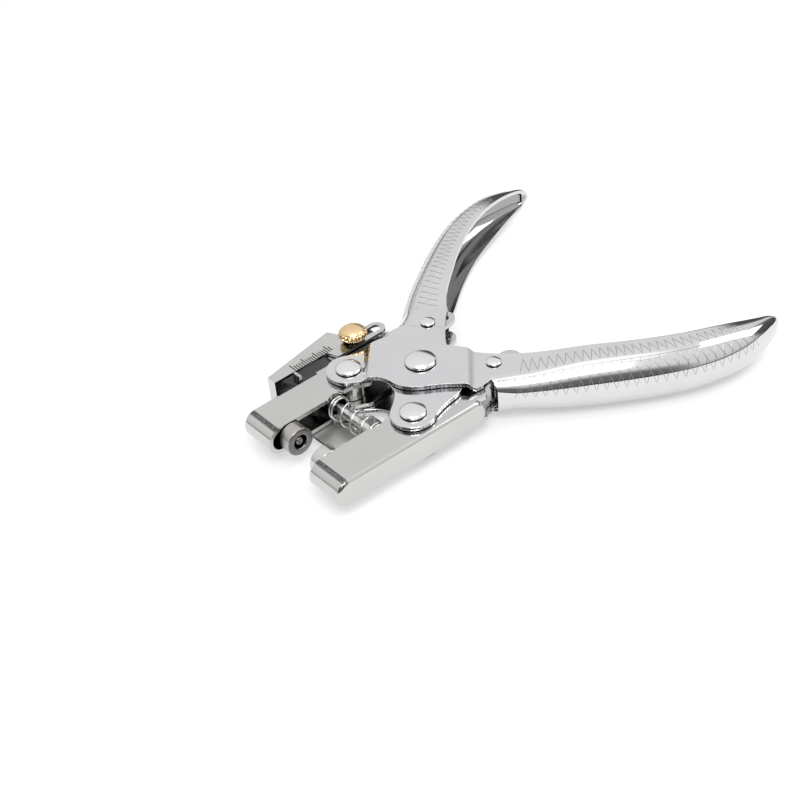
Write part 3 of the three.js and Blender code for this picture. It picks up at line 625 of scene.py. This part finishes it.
def grip_mesh(side):
    """Points and faces of a grip's sheet, and the number of the first point inside it."""
    rows = fine_stations(side)
    last = rows[-1]["length"]
    rows = [rounded_tip(row, last - row["length"]) for row in rows]
    skins = [front_corner(rows, k, section(row)) for k, row in enumerate(rows)]
    ends = next(k for k, row in enumerate(rows) if row["length"] > last * HOLLOW_END)
    hollows = [front_corner(rows, k, section(row, SHEET)) for k, row in enumerate(rows[:ends])]
    count = len(skins[0])
    points = [p for ring in skins for p in ring]
    base = len(points)
    points += [p for ring in hollows for p in ring]
    faces = []

    def skin(row, step):
        return row * count + step

    def hollow(row, step):
        return base + row * count + step

    for row in range(len(skins) - 1):
        for step in range(count - 1):
            after = skin(row + 1, step)
            faces.append((skin(row, step), skin(row, step + 1), after + 1, after))
    for row in range(ends - 1):
        for step in range(count - 1):
            after = hollow(row + 1, step)
            faces.append((hollow(row, step), after, after + 1, hollow(row, step + 1)))
        for step in (0, count - 1):
            faces.append((skin(row, step), skin(row + 1, step), hollow(row + 1, step), hollow(row, step)))
    for step in range(count - 1):
        faces.append((skin(0, step), hollow(0, step), hollow(0, step + 1), skin(0, step + 1)))
    stop = ends - 1
    faces.append(tuple(hollow(stop, step) for step in range(count)))
    before = (hollow(stop, 0), hollow(stop, count - 1))
    for row in range(stop, len(skins) - 1):
        after = (len(points), len(points) + 1)
        ring = skins[row + 1]
        points += [ring[0].lerp(ring[-1], share) for share in TIP_CLOSING]
        faces.append((skin(row, 0), before[0], after[0], skin(row + 1, 0)))
        faces.append((before[0], before[1], after[1], after[0]))
        faces.append((before[1], skin(row, count - 1), skin(row + 1, count - 1), after[1]))
        before = after
    faces.append(tuple(skin(len(skins) - 1, step) for step in range(count)) + (before[1], before[0]))
    return points, faces, base


def plate_outline(side):
    lines = grip_lines(side)
    stations = [grip_station(lines, side, k / GRIP_STEPS) for k in range(4)]
    hub = [[flat(x, y * side) * HUB_RADIUS for x, y in shares] for shares in (FAR_SIDE, NEAR_SIDE)]
    arc = fan(-PIVOT_REACH, -PIVOT_SIDE, EAR_RADIUS, EAR_START, EAR_END, EAR_STEPS)
    ear = [flat(x, y * side) for x, y in arc]
    inner = [stations[k]["inner"] for k in (0, 2, 3)]
    outer = [stations[k]["outer"] - stations[k]["normal"] * stations[k]["radius"] for k in (3, 1, 0)]
    curve = spline(ear + hub[0] + inner + outer + hub[1], closed=True)
    return [curve(k / PLATE_POINTS) for k in range(PLATE_POINTS)]


def plate_mesh(side, joggled):
    """One plate of a handle as a bmesh in millimetres, as an upper one."""
    turn = math.asin(side * PIVOT_SIDE / math.hypot(PIVOT_REACH, PIVOT_SIDE))
    way = flat(math.cos(turn), math.sin(turn))
    build = bmesh.new()
    build.faces.new([build.verts.new(point) for point in plate_outline(side)])
    if joggled:
        for start in (-JOGGLE_FRONT - JOGGLE_RUN, JOGGLE_REAR):
            for k in range(JOGGLE_CUTS):
                cut_across(build, way * (start + JOGGLE_RUN * k / (JOGGLE_CUTS - 1)), way)
    made = bmesh.ops.extrude_face_region(build, geom=build.faces[:])
    for vert in made["geom"]:
        if isinstance(vert, bmesh.types.BMVert):
            vert.co.z = SHEET
    for vert in build.verts:
        vert.co.z += PLATE_LOW
        if joggled:
            place = vert.co.dot(way)
            front, rear = place + JOGGLE_FRONT, JOGGLE_REAR - place
            rise = min(max(min(front, rear) / JOGGLE_RUN + 1, 0), 1)
            vert.co.z += HUB_LIFT * rise * rise * (3 - 2 * rise)
    return build


def skin_at(rows, length, along):
    """Point and outward normal on a grip's upper skin, along millimetres in from its inner edge."""
    share = min(max(length / rows[-1]["length"], 0), 1) * (len(rows) - 1)
    index = min(int(share), len(rows) - 2)
    row = between(rows[index], rows[index + 1], share - index)
    u, width, half, bend = across_grip(row)
    level = width - bend
    place = along(level, bend)
    if place <= level:
        return row["inner"] + u * place + Vector((0, 0, half)), Vector((0, 0, 1))
    turn = min((place - level) / bend, math.pi / 2)
    out = u * math.sin(turn) + Vector((0, 0, math.cos(turn)))
    centre = row["inner"] + u * level + Vector((0, 0, half - bend))
    down = max(place - level - bend * math.pi / 2, 0)
    return centre + out * bend - Vector((0, 0, down)), out


def ridge_line(rows, span, pitch, phase, low, high):
    """A zigzag on the skin between two places across it, as points with normals."""
    start, end = (rows[-1]["length"] * share for share in span)
    strokes = int((end - start) / pitch * 2)
    out = []
    for step in range(strokes * RIDGE_STEPS + 1):
        swing = abs(((step / RIDGE_STEPS + phase) % 2) - 1)
        length = start + step / RIDGE_STEPS * pitch / 2
        out.append(skin_at(rows, length, lambda level, bend: low(level, bend) * (1 - swing)
                           + high(level, bend) * swing))
    return out


def ridge_mesh(lines):
    points, faces = [], []
    for line in lines:
        base = len(points)
        places = [place for place, out in line]
        for k, (place, out) in enumerate(line):
            side = heading(places, k).cross(out).normalized()
            for step in range(RIDGE_SIDES):
                angle = 2 * math.pi * step / RIDGE_SIDES
                points.append(place - out * RIDGE_SINK
                              + (side * math.cos(angle) + out * math.sin(angle)) * RIDGE_RADIUS)
        faces += [tuple(base + index for index in face) for face in tube_faces(len(line), RIDGE_SIDES)]
    return points, faces


def embossed_rows(rows):
    """The zigzag and the crease on top of a grip, and the crossed zigzags on its edge."""

    def crease(level, bend):
        return level + bend * CREASE_ARC

    def short_of_crease(part):
        return lambda level, bend: crease(level, bend) * part

    def foot(level, bend):
        return level + bend * EDGE_END

    zigzag = ridge_line(rows, TOP_ROW, TOP_PITCH, 0, short_of_crease(TOP_LOW), short_of_crease(TOP_HIGH))
    line = ridge_line(rows, CREASE_ROW, EDGE_PITCH, 0, crease, crease)
    edge = [ridge_line(rows, EDGE_ROW, EDGE_PITCH, phase, crease, foot) for phase in (0, 1)]
    return {"top_row": [zigzag, line], "edge_row": edge}


def make_handle(name, side, metals):
    points, faces, base = grip_mesh(side)
    grip = new_mesh(name + "_grip", points, faces, metals["chrome"])
    # Faces of the grip's hollow, which the chrome darkens as painted shade
    within = grip.data.attributes.new("inside", "FLOAT", "FACE")
    for face, value in zip(grip.data.polygons, within.data):
        value.value = float(all(index >= base for index in face.vertices))
    bevelled(grip, GRIP_BREAK, 3)
    pieces = [grip]
    for part, lower in (("upper", False), ("lower", True)):
        joggled = (side < 0) != lower
        build = plate_mesh(side, joggled)
        plate = finish_mesh(name + "_" + part + "_plate", build, metals["chrome_sheet"], lower)
        bevelled(plate, PLATE_BREAK, 3)
        pieces.append(plate)
    for part, lines in embossed_rows(fine_stations(side)).items():
        points, faces = ridge_mesh(lines)
        pieces.append(new_mesh(name + "_" + part, points, faces, metals["embossed"]))
    for piece in pieces:
        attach(piece, name)
        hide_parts(name)


# Turned parts

def rounded(profile, radius, steps=4):
    """Rounds each inner corner of a profile of (radius, height) points."""
    out = [Vector(profile[0])]
    for before, corner, after in zip(profile, profile[1:], profile[2:]):
        corner = Vector(corner)
        back, on = Vector(before) - corner, Vector(after) - corner
        size = min(radius, back.length / CORNER_SHARE, on.length / CORNER_SHARE)
        start, end = corner + back.normalized() * size, corner + on.normalized() * size
        for k in range(steps + 1):
            s = k / steps
            out.append(start * (1 - s) ** 2 + corner * 2 * s * (1 - s) + end * s * s)
    out.append(Vector(profile[-1]))
    return out


def dome(radius, base, height, steps=18):
    """Profile points of a flattened dome, from inside its rim to its top."""
    angles = [math.pi / 2 * k / steps for k in range(1, steps)]
    line = [(radius * math.cos(angle), base + height * math.sin(angle)) for angle in angles]
    return [Vector(point) for point in line + [(0, base + height)]]


def lathed(name, profile, place, axis, material, body, around=AROUND, shape=None):
    """A turned piece: profile points are radius and height along Z, or along Y where axis is Y."""
    points, faces, rings = [], [], []
    for index, (radius, height) in enumerate(profile):
        if radius < TINY:
            rings.append([len(points)])
            points.append((0, 0, height))
            continue
        ring = []
        for step in range(around):
            angle = 2 * math.pi * step / around
            size = radius + (shape(index, angle) if shape else 0)
            ring.append(len(points))
            points.append((size * math.cos(angle), size * math.sin(angle), height))
        rings.append(ring)
    for low, high in zip(rings, rings[1:]):
        for step in range(around):
            after = (step + 1) % around
            corners = ((low, step), (low, after), (high, after), (high, step))
            faces.append(tuple(dict.fromkeys(ring[k % len(ring)] for ring, k in corners)))
    if axis == "Y":
        points = [(place[0] + x, z, -y) for x, y, z in points]
    else:
        points = [(place[0] + x, place[1] + y, z) for x, y, z in points]
    item = new_mesh(name + "_turned", points, faces, material)
    shaded(item, TURNED_WEIGHT, False)
    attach(item, body)
    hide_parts(name)


def make_rivet(name, body, place, sizes, lift, material):
    shank, head, rise, foot = sizes
    seat = PLATE_TOP + CLEAR + lift
    rim = foot * RIM_SHARE
    low = rounded([(0, -seat - foot), (head, -seat - foot), (head, -seat), (shank, -seat)], RIVET_ROUND)
    up = rounded([
        (shank, -seat), (shank, seat), (head - RIM_STEP, seat), (head, seat + RIM_RISE), (head, seat + rim),
    ], RIM_STEP, 3)
    profile = low + up[1:] + dome(head, seat + rim, rise - rim)
    lathed(name, profile, place, "Z", material, body)


def make_tools(dark, steel):
    shoulder, seat = JAW_INNER - CLEAR, JAW_OUTER - SHEET - CLEAR
    bore_end = PUNCH_FACE + PUNCH_BORE_DEPTH
    holder = rounded([
        (0, bore_end), (PUNCH_BORE, bore_end), (PUNCH_BORE, PUNCH_FACE), (TOOL_RADIUS, PUNCH_FACE),
        (TOOL_RADIUS, shoulder), (TOOL_SHANK, shoulder), (TOOL_SHANK, seat), (0, seat),
    ], PUNCH_ROUND)
    lathed("punch_holder", holder, (-TOOL_REACH, 0), "Y", dark, "punch_jaw", TOOL_AROUND)
    point = [(radius, PIN_TIP + height) for radius, height in PIN_POINT]
    thread = [
        (PIN_RADIUS - THREAD_DEPTH * sink, PIN_TIP + THREAD_START + THREAD_PITCH * (turn + share))
        for turn in range(THREAD_TURNS) for share, sink in THREAD_SHAPE
    ]
    pin = point + thread + [(PIN_RADIUS, bore_end + PIN_TAIL), (0, bore_end + PIN_TAIL)]
    lathed("punch_pin", pin, (-TOOL_REACH, 0), "Y", dark, "punch_jaw", POST_AROUND)
    floor = -DIE_FACE - DIE_BORE_DEPTH
    die = rounded([
        (0, floor), (DIE_BORE, floor), (DIE_BORE, -DIE_FACE - DIE_LIP),
        (DIE_BORE + DIE_CURL[0], -DIE_FACE - DIE_CURL[1]), (DIE_GROOVE, -DIE_FACE), (TOOL_RADIUS, -DIE_FACE),
        (TOOL_RADIUS, -shoulder), (TOOL_SHANK, -shoulder), (TOOL_SHANK, -seat), (0, -seat),
    ], DIE_ROUND)
    lathed("setting_die", die, (-TOOL_REACH, 0), "Y", steel, "die_jaw", TOOL_AROUND)


def make_guide(material):
    inside, cap = JAW_OUTER - SHEET - CLEAR, JAW_OUTER + CLEAR
    line = rounded([
        (0, -GUIDE_TIP), (GUIDE_RADIUS, -GUIDE_TIP), (GUIDE_RADIUS, inside), (GUIDE_RADIUS / 2, inside),
        (GUIDE_RADIUS / 2, cap), (GUIDE_HEAD, cap), (GUIDE_HEAD, cap + GUIDE_RIM),
    ], GUIDE_ROUND)
    line += dome(GUIDE_HEAD, cap + GUIDE_RIM, GUIDE_DOME)
    lathed("guide_post", line, (-SPRING_REACH, 0), "Y", material, "punch_jaw", POST_AROUND)


def make_spring(material):
    end = SPRING_END - CLEAR - SPRING_WIRE / 2
    middle = SPRING_TURNS - 2 * SPRING_ENDS
    slack = end - SPRING_ENDS * SPRING_END_PITCH

    def rise(turn):
        if turn < SPRING_ENDS:
            return end - turn * SPRING_END_PITCH
        if turn > SPRING_TURNS - SPRING_ENDS:
            return -end + (SPRING_TURNS - turn) * SPRING_END_PITCH
        return slack - (turn - SPRING_ENDS) / middle * slack * 2

    steps = int(SPRING_TURNS * SPRING_STEPS)
    rises = eased([Vector((rise(k / SPRING_STEPS), 0, 0)) for k in range(steps + 1)], SIZE_ROUNDS)
    line = []
    for k in range(steps + 1):
        angle = 2 * math.pi * k / SPRING_STEPS
        line.append(Vector((SPRING_RADIUS * math.cos(angle) - SPRING_REACH, rises[k].x,
                            SPRING_RADIUS * math.sin(angle))))
    points = []
    for k, place in enumerate(line):
        way = heading(line, k)
        out = Vector((place.x + SPRING_REACH, 0, place.z)).normalized()
        up = way.cross(out).normalized()
        out = up.cross(way)
        for step in range(SPRING_SIDES):
            angle = 2 * math.pi * step / SPRING_SIDES
            points.append(place + (out * math.cos(angle) + up * math.sin(angle)) * SPRING_WIRE / 2)
    spring = new_mesh("return_spring_wire", points, tube_faces(len(line), SPRING_SIDES), material)
    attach(spring, "die_jaw")
    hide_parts("return_spring")
    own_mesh(spring)


def make_thumb_screw(material):
    seat = GAUGE_TOP + CLEAR
    collar = seat + THUMB_COLLAR_HEIGHT
    neck = THUMB_RADIUS - THUMB_TOOTH * 2
    body = rounded([
        (0, THUMB_END), (THUMB_SHANK, THUMB_END), (THUMB_SHANK, seat), (THUMB_COLLAR, seat),
        (THUMB_COLLAR, collar), (neck - THUMB_UNDERCUT, collar),
    ], THUMB_ROUND, 3)
    first = len(body)
    brim = seat + THUMB_WALL[-1][1]
    body += [Vector((neck + past, seat + height)) for past, height, share in THUMB_WALL]
    body += [Vector((neck, brim))] + dome(neck, brim, THUMB_DOME, 22)

    def teeth(index, angle):
        if not first <= index < first + len(THUMB_WALL):
            return 0
        swing = abs((angle * THUMB_TEETH / math.pi / 2) % 1 * 2 - 1)
        return (1 - (1 - swing) * TOOTH_WIDTH) * THUMB_TOOTH * THUMB_WALL[index - first][2]

    around = THUMB_TEETH * TOOTH_STEPS
    lathed("thumb_screw", body, THUMB_PLACE, "Z", material, "thumb_screw", around, teeth)


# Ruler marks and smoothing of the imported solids

def make_ruler(material):
    build = bmesh.new()
    low = GAUGE_INNER + RULER_WIDE / 4
    for mark in range(RULER_MARKS):
        x = RULER_START + mark * RULER_PITCH
        high = GAUGE_INNER + (RULER_SHORT if mark % RULER_GROUP else RULER_LONG)
        made = bmesh.ops.create_cube(build, size=1)
        for vert in made["verts"]:
            vert.co = Vector((x + vert.co.x * RULER_WIDE, (low + high) / 2 + vert.co.y * (high - low),
                              GAUGE_TOP - RULER_SINK + vert.co.z * RULER_THICK))
    item = finish_mesh("ruler_marks", build, material)
    for face in item.data.polygons:
        face.use_smooth = False
    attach(item, "depth_gauge")


def smooth_group():
    """A node group that smooths all shading except across sharp edges."""
    group = bpy.data.node_groups.new("smooth_by_angle", "GeometryNodeTree")
    group.interface.new_socket("Geometry", in_out="INPUT", socket_type="NodeSocketGeometry")
    group.interface.new_socket("Geometry", in_out="OUTPUT", socket_type="NodeSocketGeometry")
    start = group.nodes.new("NodeGroupInput").outputs[0]
    whole = add(group, "GeometryNodeSetShadeSmooth", {"Geometry": start})[0]
    angle = group.nodes.new("GeometryNodeInputMeshEdgeAngle").outputs["Unsigned Angle"]
    angles = {"A": angle, "B": math.radians(SMOOTH_ANGLE)}
    over = add(group, "FunctionNodeCompare", angles, operation="GREATER_THAN")[0]
    inputs = {"Geometry": whole, "Selection": over, "Shade Smooth": False}
    sharp = add(group, "GeometryNodeSetShadeSmooth", inputs, domain="EDGE")[0]
    group.links.new(sharp, group.nodes.new("NodeGroupOutput").inputs[0])
    return group


def soften(item, group, width):
    """Rounds a solid's edges and smooths its bends, without touching its mesh."""
    merge = item.modifiers.new("flats", "DECIMATE")
    settle(merge, decimate_type="DISSOLVE", angle_limit=math.radians(FLAT_ANGLE))
    rounded_edges(item, width, 3, SOLID_ANGLE)
    settle(item.modifiers.new("smooth", "NODES"), node_group=group)
    shaded(item, SHADE_WEIGHT, True)


# Jaws and the gauge's foot

def rounded_loop(front, back, top, nose, heel):
    """Closed outline of a jaw seen from the side, as places along the tool and heights."""
    loop = []
    corners = ((back - heel, top - heel, heel, 90), (back - heel, heel - top, heel, 0),
               (front + nose, nose - top, nose, -90), (front + nose, top - nose, nose, -180))
    for x, z, radius, start in corners:
        loop += fan(x, z, radius, start, start - 90, CORNER_STEPS)
    return loop


def jaw_block(side, inset, past, flare):
    """The outer form of a jaw, or with an inset the room inside it, which runs past its open sides."""
    edge = JAW_EDGE - inset
    outer = JAW_OUTER - inset
    rows = [(JAW_INNER - past, 0)]
    for k in range(CORNER_STEPS + 1):
        angle = math.pi / 2 * k / CORNER_STEPS
        rows.append((outer - edge + edge * math.sin(angle), edge * (1 - math.cos(angle))))
    points = []
    for y, draw in rows:
        far = inset + draw
        back = JAW_HEEL + (HEEL_ROUND + past if past else 0) - far
        loop = rounded_loop(far - JAW_NOSE, back, JAW_TOP - far, NOSE_ROUND - far, HEEL_ROUND - far)
        share = max(y - JAW_INNER, 0) / (JAW_OUTER - JAW_INNER)
        points += [(x, side * (y + flare * share * max(x + FLARE_START, 0)), z) for x, z in loop]
    count = len(points) // len(rows)
    return new_mesh("block", points, tube_faces(len(rows), count), None)


def prism(outline, low, high, material=None):
    """An upright solid over an outline."""
    points = [(x, y, z) for z in (low, high) for x, y in outline]
    return new_mesh("prism", points, tube_faces(2, len(outline)), material)


def combined(name, material, base, parts):
    """Joins solids to a base or cuts them from it, and drops the solids used."""
    for part, way in parts:
        settle(base.modifiers.new("shape", "BOOLEAN"), operation=way, object=part, solver="EXACT")
    graph = bpy.context.evaluated_depsgraph_get()
    graph.update()
    item = from_mesh(name, bpy.data.meshes.new_from_object(base.evaluated_get(graph)), material)
    for used in [base] + [part for part, way in parts]:
        bpy.data.objects.remove(used)
    return item


def make_jaw(name, side, material, group):
    flare = JAW_FLARE if side < 0 else 0
    swing = math.hypot(PIVOT_REACH, PIVOT_SIDE)
    slide = 2 * (swing * math.cos(math.atan2(PIVOT_SIDE, PIVOT_REACH) - CLOSE_ANGLE) - PIVOT_REACH)
    hole = PIN_SHANK + CLEAR
    tail = PIVOT_REACH + slide + hole + TAIL_RIM - TAIL_HALF
    flange = list(BRIDGE) + fan(tail, PIVOT_SIDE, TAIL_HALF, -90, 90) + list(SHOULDER)
    slot = fan(PIVOT_REACH, PIVOT_SIDE, hole, 90, 270) + fan(PIVOT_REACH + slide, PIVOT_SIDE, hole, -90, 90)
    middle = JAW_INNER + NOTCH_DEPTH - NOTCH_ROUND
    notch = fan(-SPRING_REACH, middle, NOTCH_ROUND, 0, NOTCH_END, NOTCH_STEPS)
    sides = [[(x, y * side) for x, y in outline] for outline in (flange, slot, notch)]
    floor = JAW_TOP - SHEET
    parts = [
        (jaw_block(side, SHEET, NOTCH_ROUND, flare), "DIFFERENCE"),
        (prism(sides[0], floor, JAW_TOP), "UNION"), (prism(sides[0], -JAW_TOP, -floor), "UNION"),
        (prism(sides[1], -REST, REST), "DIFFERENCE"), (prism(sides[2], -REST, REST), "DIFFERENCE"),
    ]
    item = combined(name + "_pressing", material, jaw_block(side, 0, 0, flare), parts)
    soften(item, group, JAW_BREAK)
    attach(item, name)
    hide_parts(name)


def make_foot(material):
    notch, back = spline([flat(x, y) for x, y in FOOT[3:7]]), spline([flat(x, y) for x, y in FOOT[6:11]])
    shares = [k / FOOT_STEPS for k in range(FOOT_STEPS + 1)]
    rounds = [tuple(notch(share))[:2] for share in shares[:-1]]
    rounds += [tuple(back(share))[:2] for share in shares]
    item = prism(list(FOOT[:3]) + rounds + list(FOOT[11:]), FOOT_TOP - FOOT_SHEET, FOOT_TOP, material)
    item.name = "gauge_foot_plate"
    build = bmesh.new()
    build.from_mesh(item.data)
    for x in (FOOT_STEP, FOOT_STEP + FOOT_STEP_RUN):
        cut_across(build, (x * MM, 0, 0), (1, 0, 0))
    for vert in build.verts:
        if vert.co.x > (FOOT_STEP + FOOT_STEP_RUN / 2) * MM:
            vert.co.z -= FOOT_DROP * MM
    build.to_mesh(item.data)
    build.free()
    bevelled(item, FOOT_BREAK, 2)
    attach(item, "depth_gauge")


# Materials

def ring_place(tree, place, centre):
    """Texture places for a turned tool, so that streaks run round its axis."""
    centre = [value * MM for value in centre]
    across = vectors(tree, "MULTIPLY", vectors(tree, "SUBTRACT", place, centre)[0], (1, 0, 1))[0]
    reach = vectors(tree, "LENGTH", across)["Value"]
    along = add(tree, "ShaderNodeSeparateXYZ", {0: place})["Y"]
    return add(tree, "ShaderNodeCombineXYZ", {"X": reach, "Y": along})[0]


def with_band(tree, colour, place, facing):
    """The dark reflection that a pressed jaw shows round its nose."""
    start = shift(tree, facing["X"], *BAND_START)
    stop = shift(tree, facing["X"], *BAND_STOP)
    upper = shift(tree, facing["Z"], *BAND_UP)
    grain = shift(tree, noise(tree, place, BAND_GRAIN, *BAND_NOISE), *BAND_LINES)
    return darkened(tree, colour, product(tree, (start, stop, upper, grain)), BAND_LEVEL)


def with_painted_side_shade(tree, colour, facing, level):
    """Painted shade: walls that face the grips or the die's side are darkened."""
    colour = darkened(tree, colour, shift(tree, facing["Y"], *DIE_SPAN), level)
    return darkened(tree, colour, shift(tree, facing["X"], *GRIP_SPAN), min(level * 2, 1))


def with_sheared_edges(tree, colour, place, facing):
    """Upright streaks on the cut edges of a sheet."""
    cut = add(tree, "ShaderNodeMapping", {"Vector": place, "Scale": CUT_GRAIN})[0]
    lines = shift(tree, noise(tree, cut, 1, *CUT_NOISE), *CUT_LINES)
    worn = mixed(tree, lines, CUT_DARK, CUT_LIGHT)
    upright = shift(tree, maths(tree, "ABSOLUTE", facing["Z"]), *CUT_UPRIGHT)
    return mixed(tree, upright, colour, worn)


def metal(name, dark, light, rough, grain, bump, rings=None, sheared=False, painted_shade=0.1, inside=0,
          band=False, painted_side_shade=0, metallic=1):
    """Plated or bare metal: streaks along the grain, patches of polish, and painted shade in sheltered
    places, on hollow faces and on walls by the way they face.
    """
    material = bpy.data.materials.new(name)
    material.use_nodes = True
    tree = material.node_tree
    shader = tree.nodes["Principled BSDF"].inputs
    shader["Metallic"].default_value = metallic
    texture = tree.nodes.new("ShaderNodeTexCoord").outputs
    place = texture["Object"]
    facing = add(tree, "ShaderNodeSeparateXYZ", {0: texture["Normal"]})
    along = ring_place(tree, place, rings) if rings else place
    stretch = add(tree, "ShaderNodeMapping", {"Vector": along, "Scale": grain})[0]
    streaks = noise(tree, stretch, 1, *STREAK_NOISE)
    patches = noise(tree, place, PATCH_SCALE, *PATCH_NOISE)
    wear = maths(tree, "MULTIPLY_ADD", streaks, STREAK_SHARE, shift(tree, patches, *PATCH_SPAN))
    colour = mixed(tree, wear, (*dark, 1), (*light, 1))
    # Painted shade: ambient occlusion darkens the colour in recesses and between parts
    reach = {"Distance": PAINTED_SHADE_REACH * MM}
    occlusion_shade = add(tree, "ShaderNodeAmbientOcclusion", reach, samples=PAINTED_SHADE_SAMPLES)["AO"]
    colour = mixed(tree, 1, colour, shift(tree, occlusion_shade, *PAINTED_SHADE_SPAN, painted_shade, 1), "MULTIPLY")
    # Painted shade on the grip's hollow faces
    if inside:
        within = add(tree, "ShaderNodeAttribute", {}, attribute_name="inside")["Fac"]
        colour = darkened(tree, colour, within, inside)
    if band:
        colour = with_band(tree, colour, place, facing)
    # Painted shade on walls by the way they face
    if painted_side_shade:
        colour = with_painted_side_shade(tree, colour, facing, painted_side_shade)
    if sheared:
        colour = with_sheared_edges(tree, colour, place, facing)
    relief = {"Strength": bump, "Distance": RELIEF_DEPTH * MM, "Height": streaks}
    tree.links.new(colour, shader["Base Color"])
    tree.links.new(shift(tree, wear, *POLISH_SPAN, rough[1], rough[0]), shader["Roughness"])
    tree.links.new(add(tree, "ShaderNodeBump", relief)[0], shader["Normal"])
    return material


def main():
    make_camera()
    make_floor()
    make_lights()
    metals = {name: metal(name, *row[:-1], **row[-1]) for name, row in METALS.items()}
    group = smooth_group()
    for name, item in nodes.items():
        finish, width = SOLIDS.get(name, ("interior_shade_fittings", 0))
        item.data.materials.clear()
        item.data.materials.append(metals[finish])
        if width:
            soften(item, group, width)
    for name, side in (("die_side_handle", -1), ("punch_side_handle", 1)):
        make_handle(name, side, metals)
    for rivet in RIVETS:
        make_rivet(*rivet, metals["bright_steel"])
    make_jaw("punch_jaw", 1, metals["pressed_nickel"], group)
    make_jaw("die_jaw", -1, metals["pressed_nickel"], group)
    make_foot(metals["foot_nickel"])
    make_tools(metals["dark_steel"], metals["turned_nickel"])
    make_guide(metals["spring_steel"])
    make_spring(metals["spring_steel"])
    make_thumb_screw(metals["brass"])
    make_ruler(metals["ruler_paint"])
    bpy.context.scene.view_settings.view_transform = "Standard"


main()
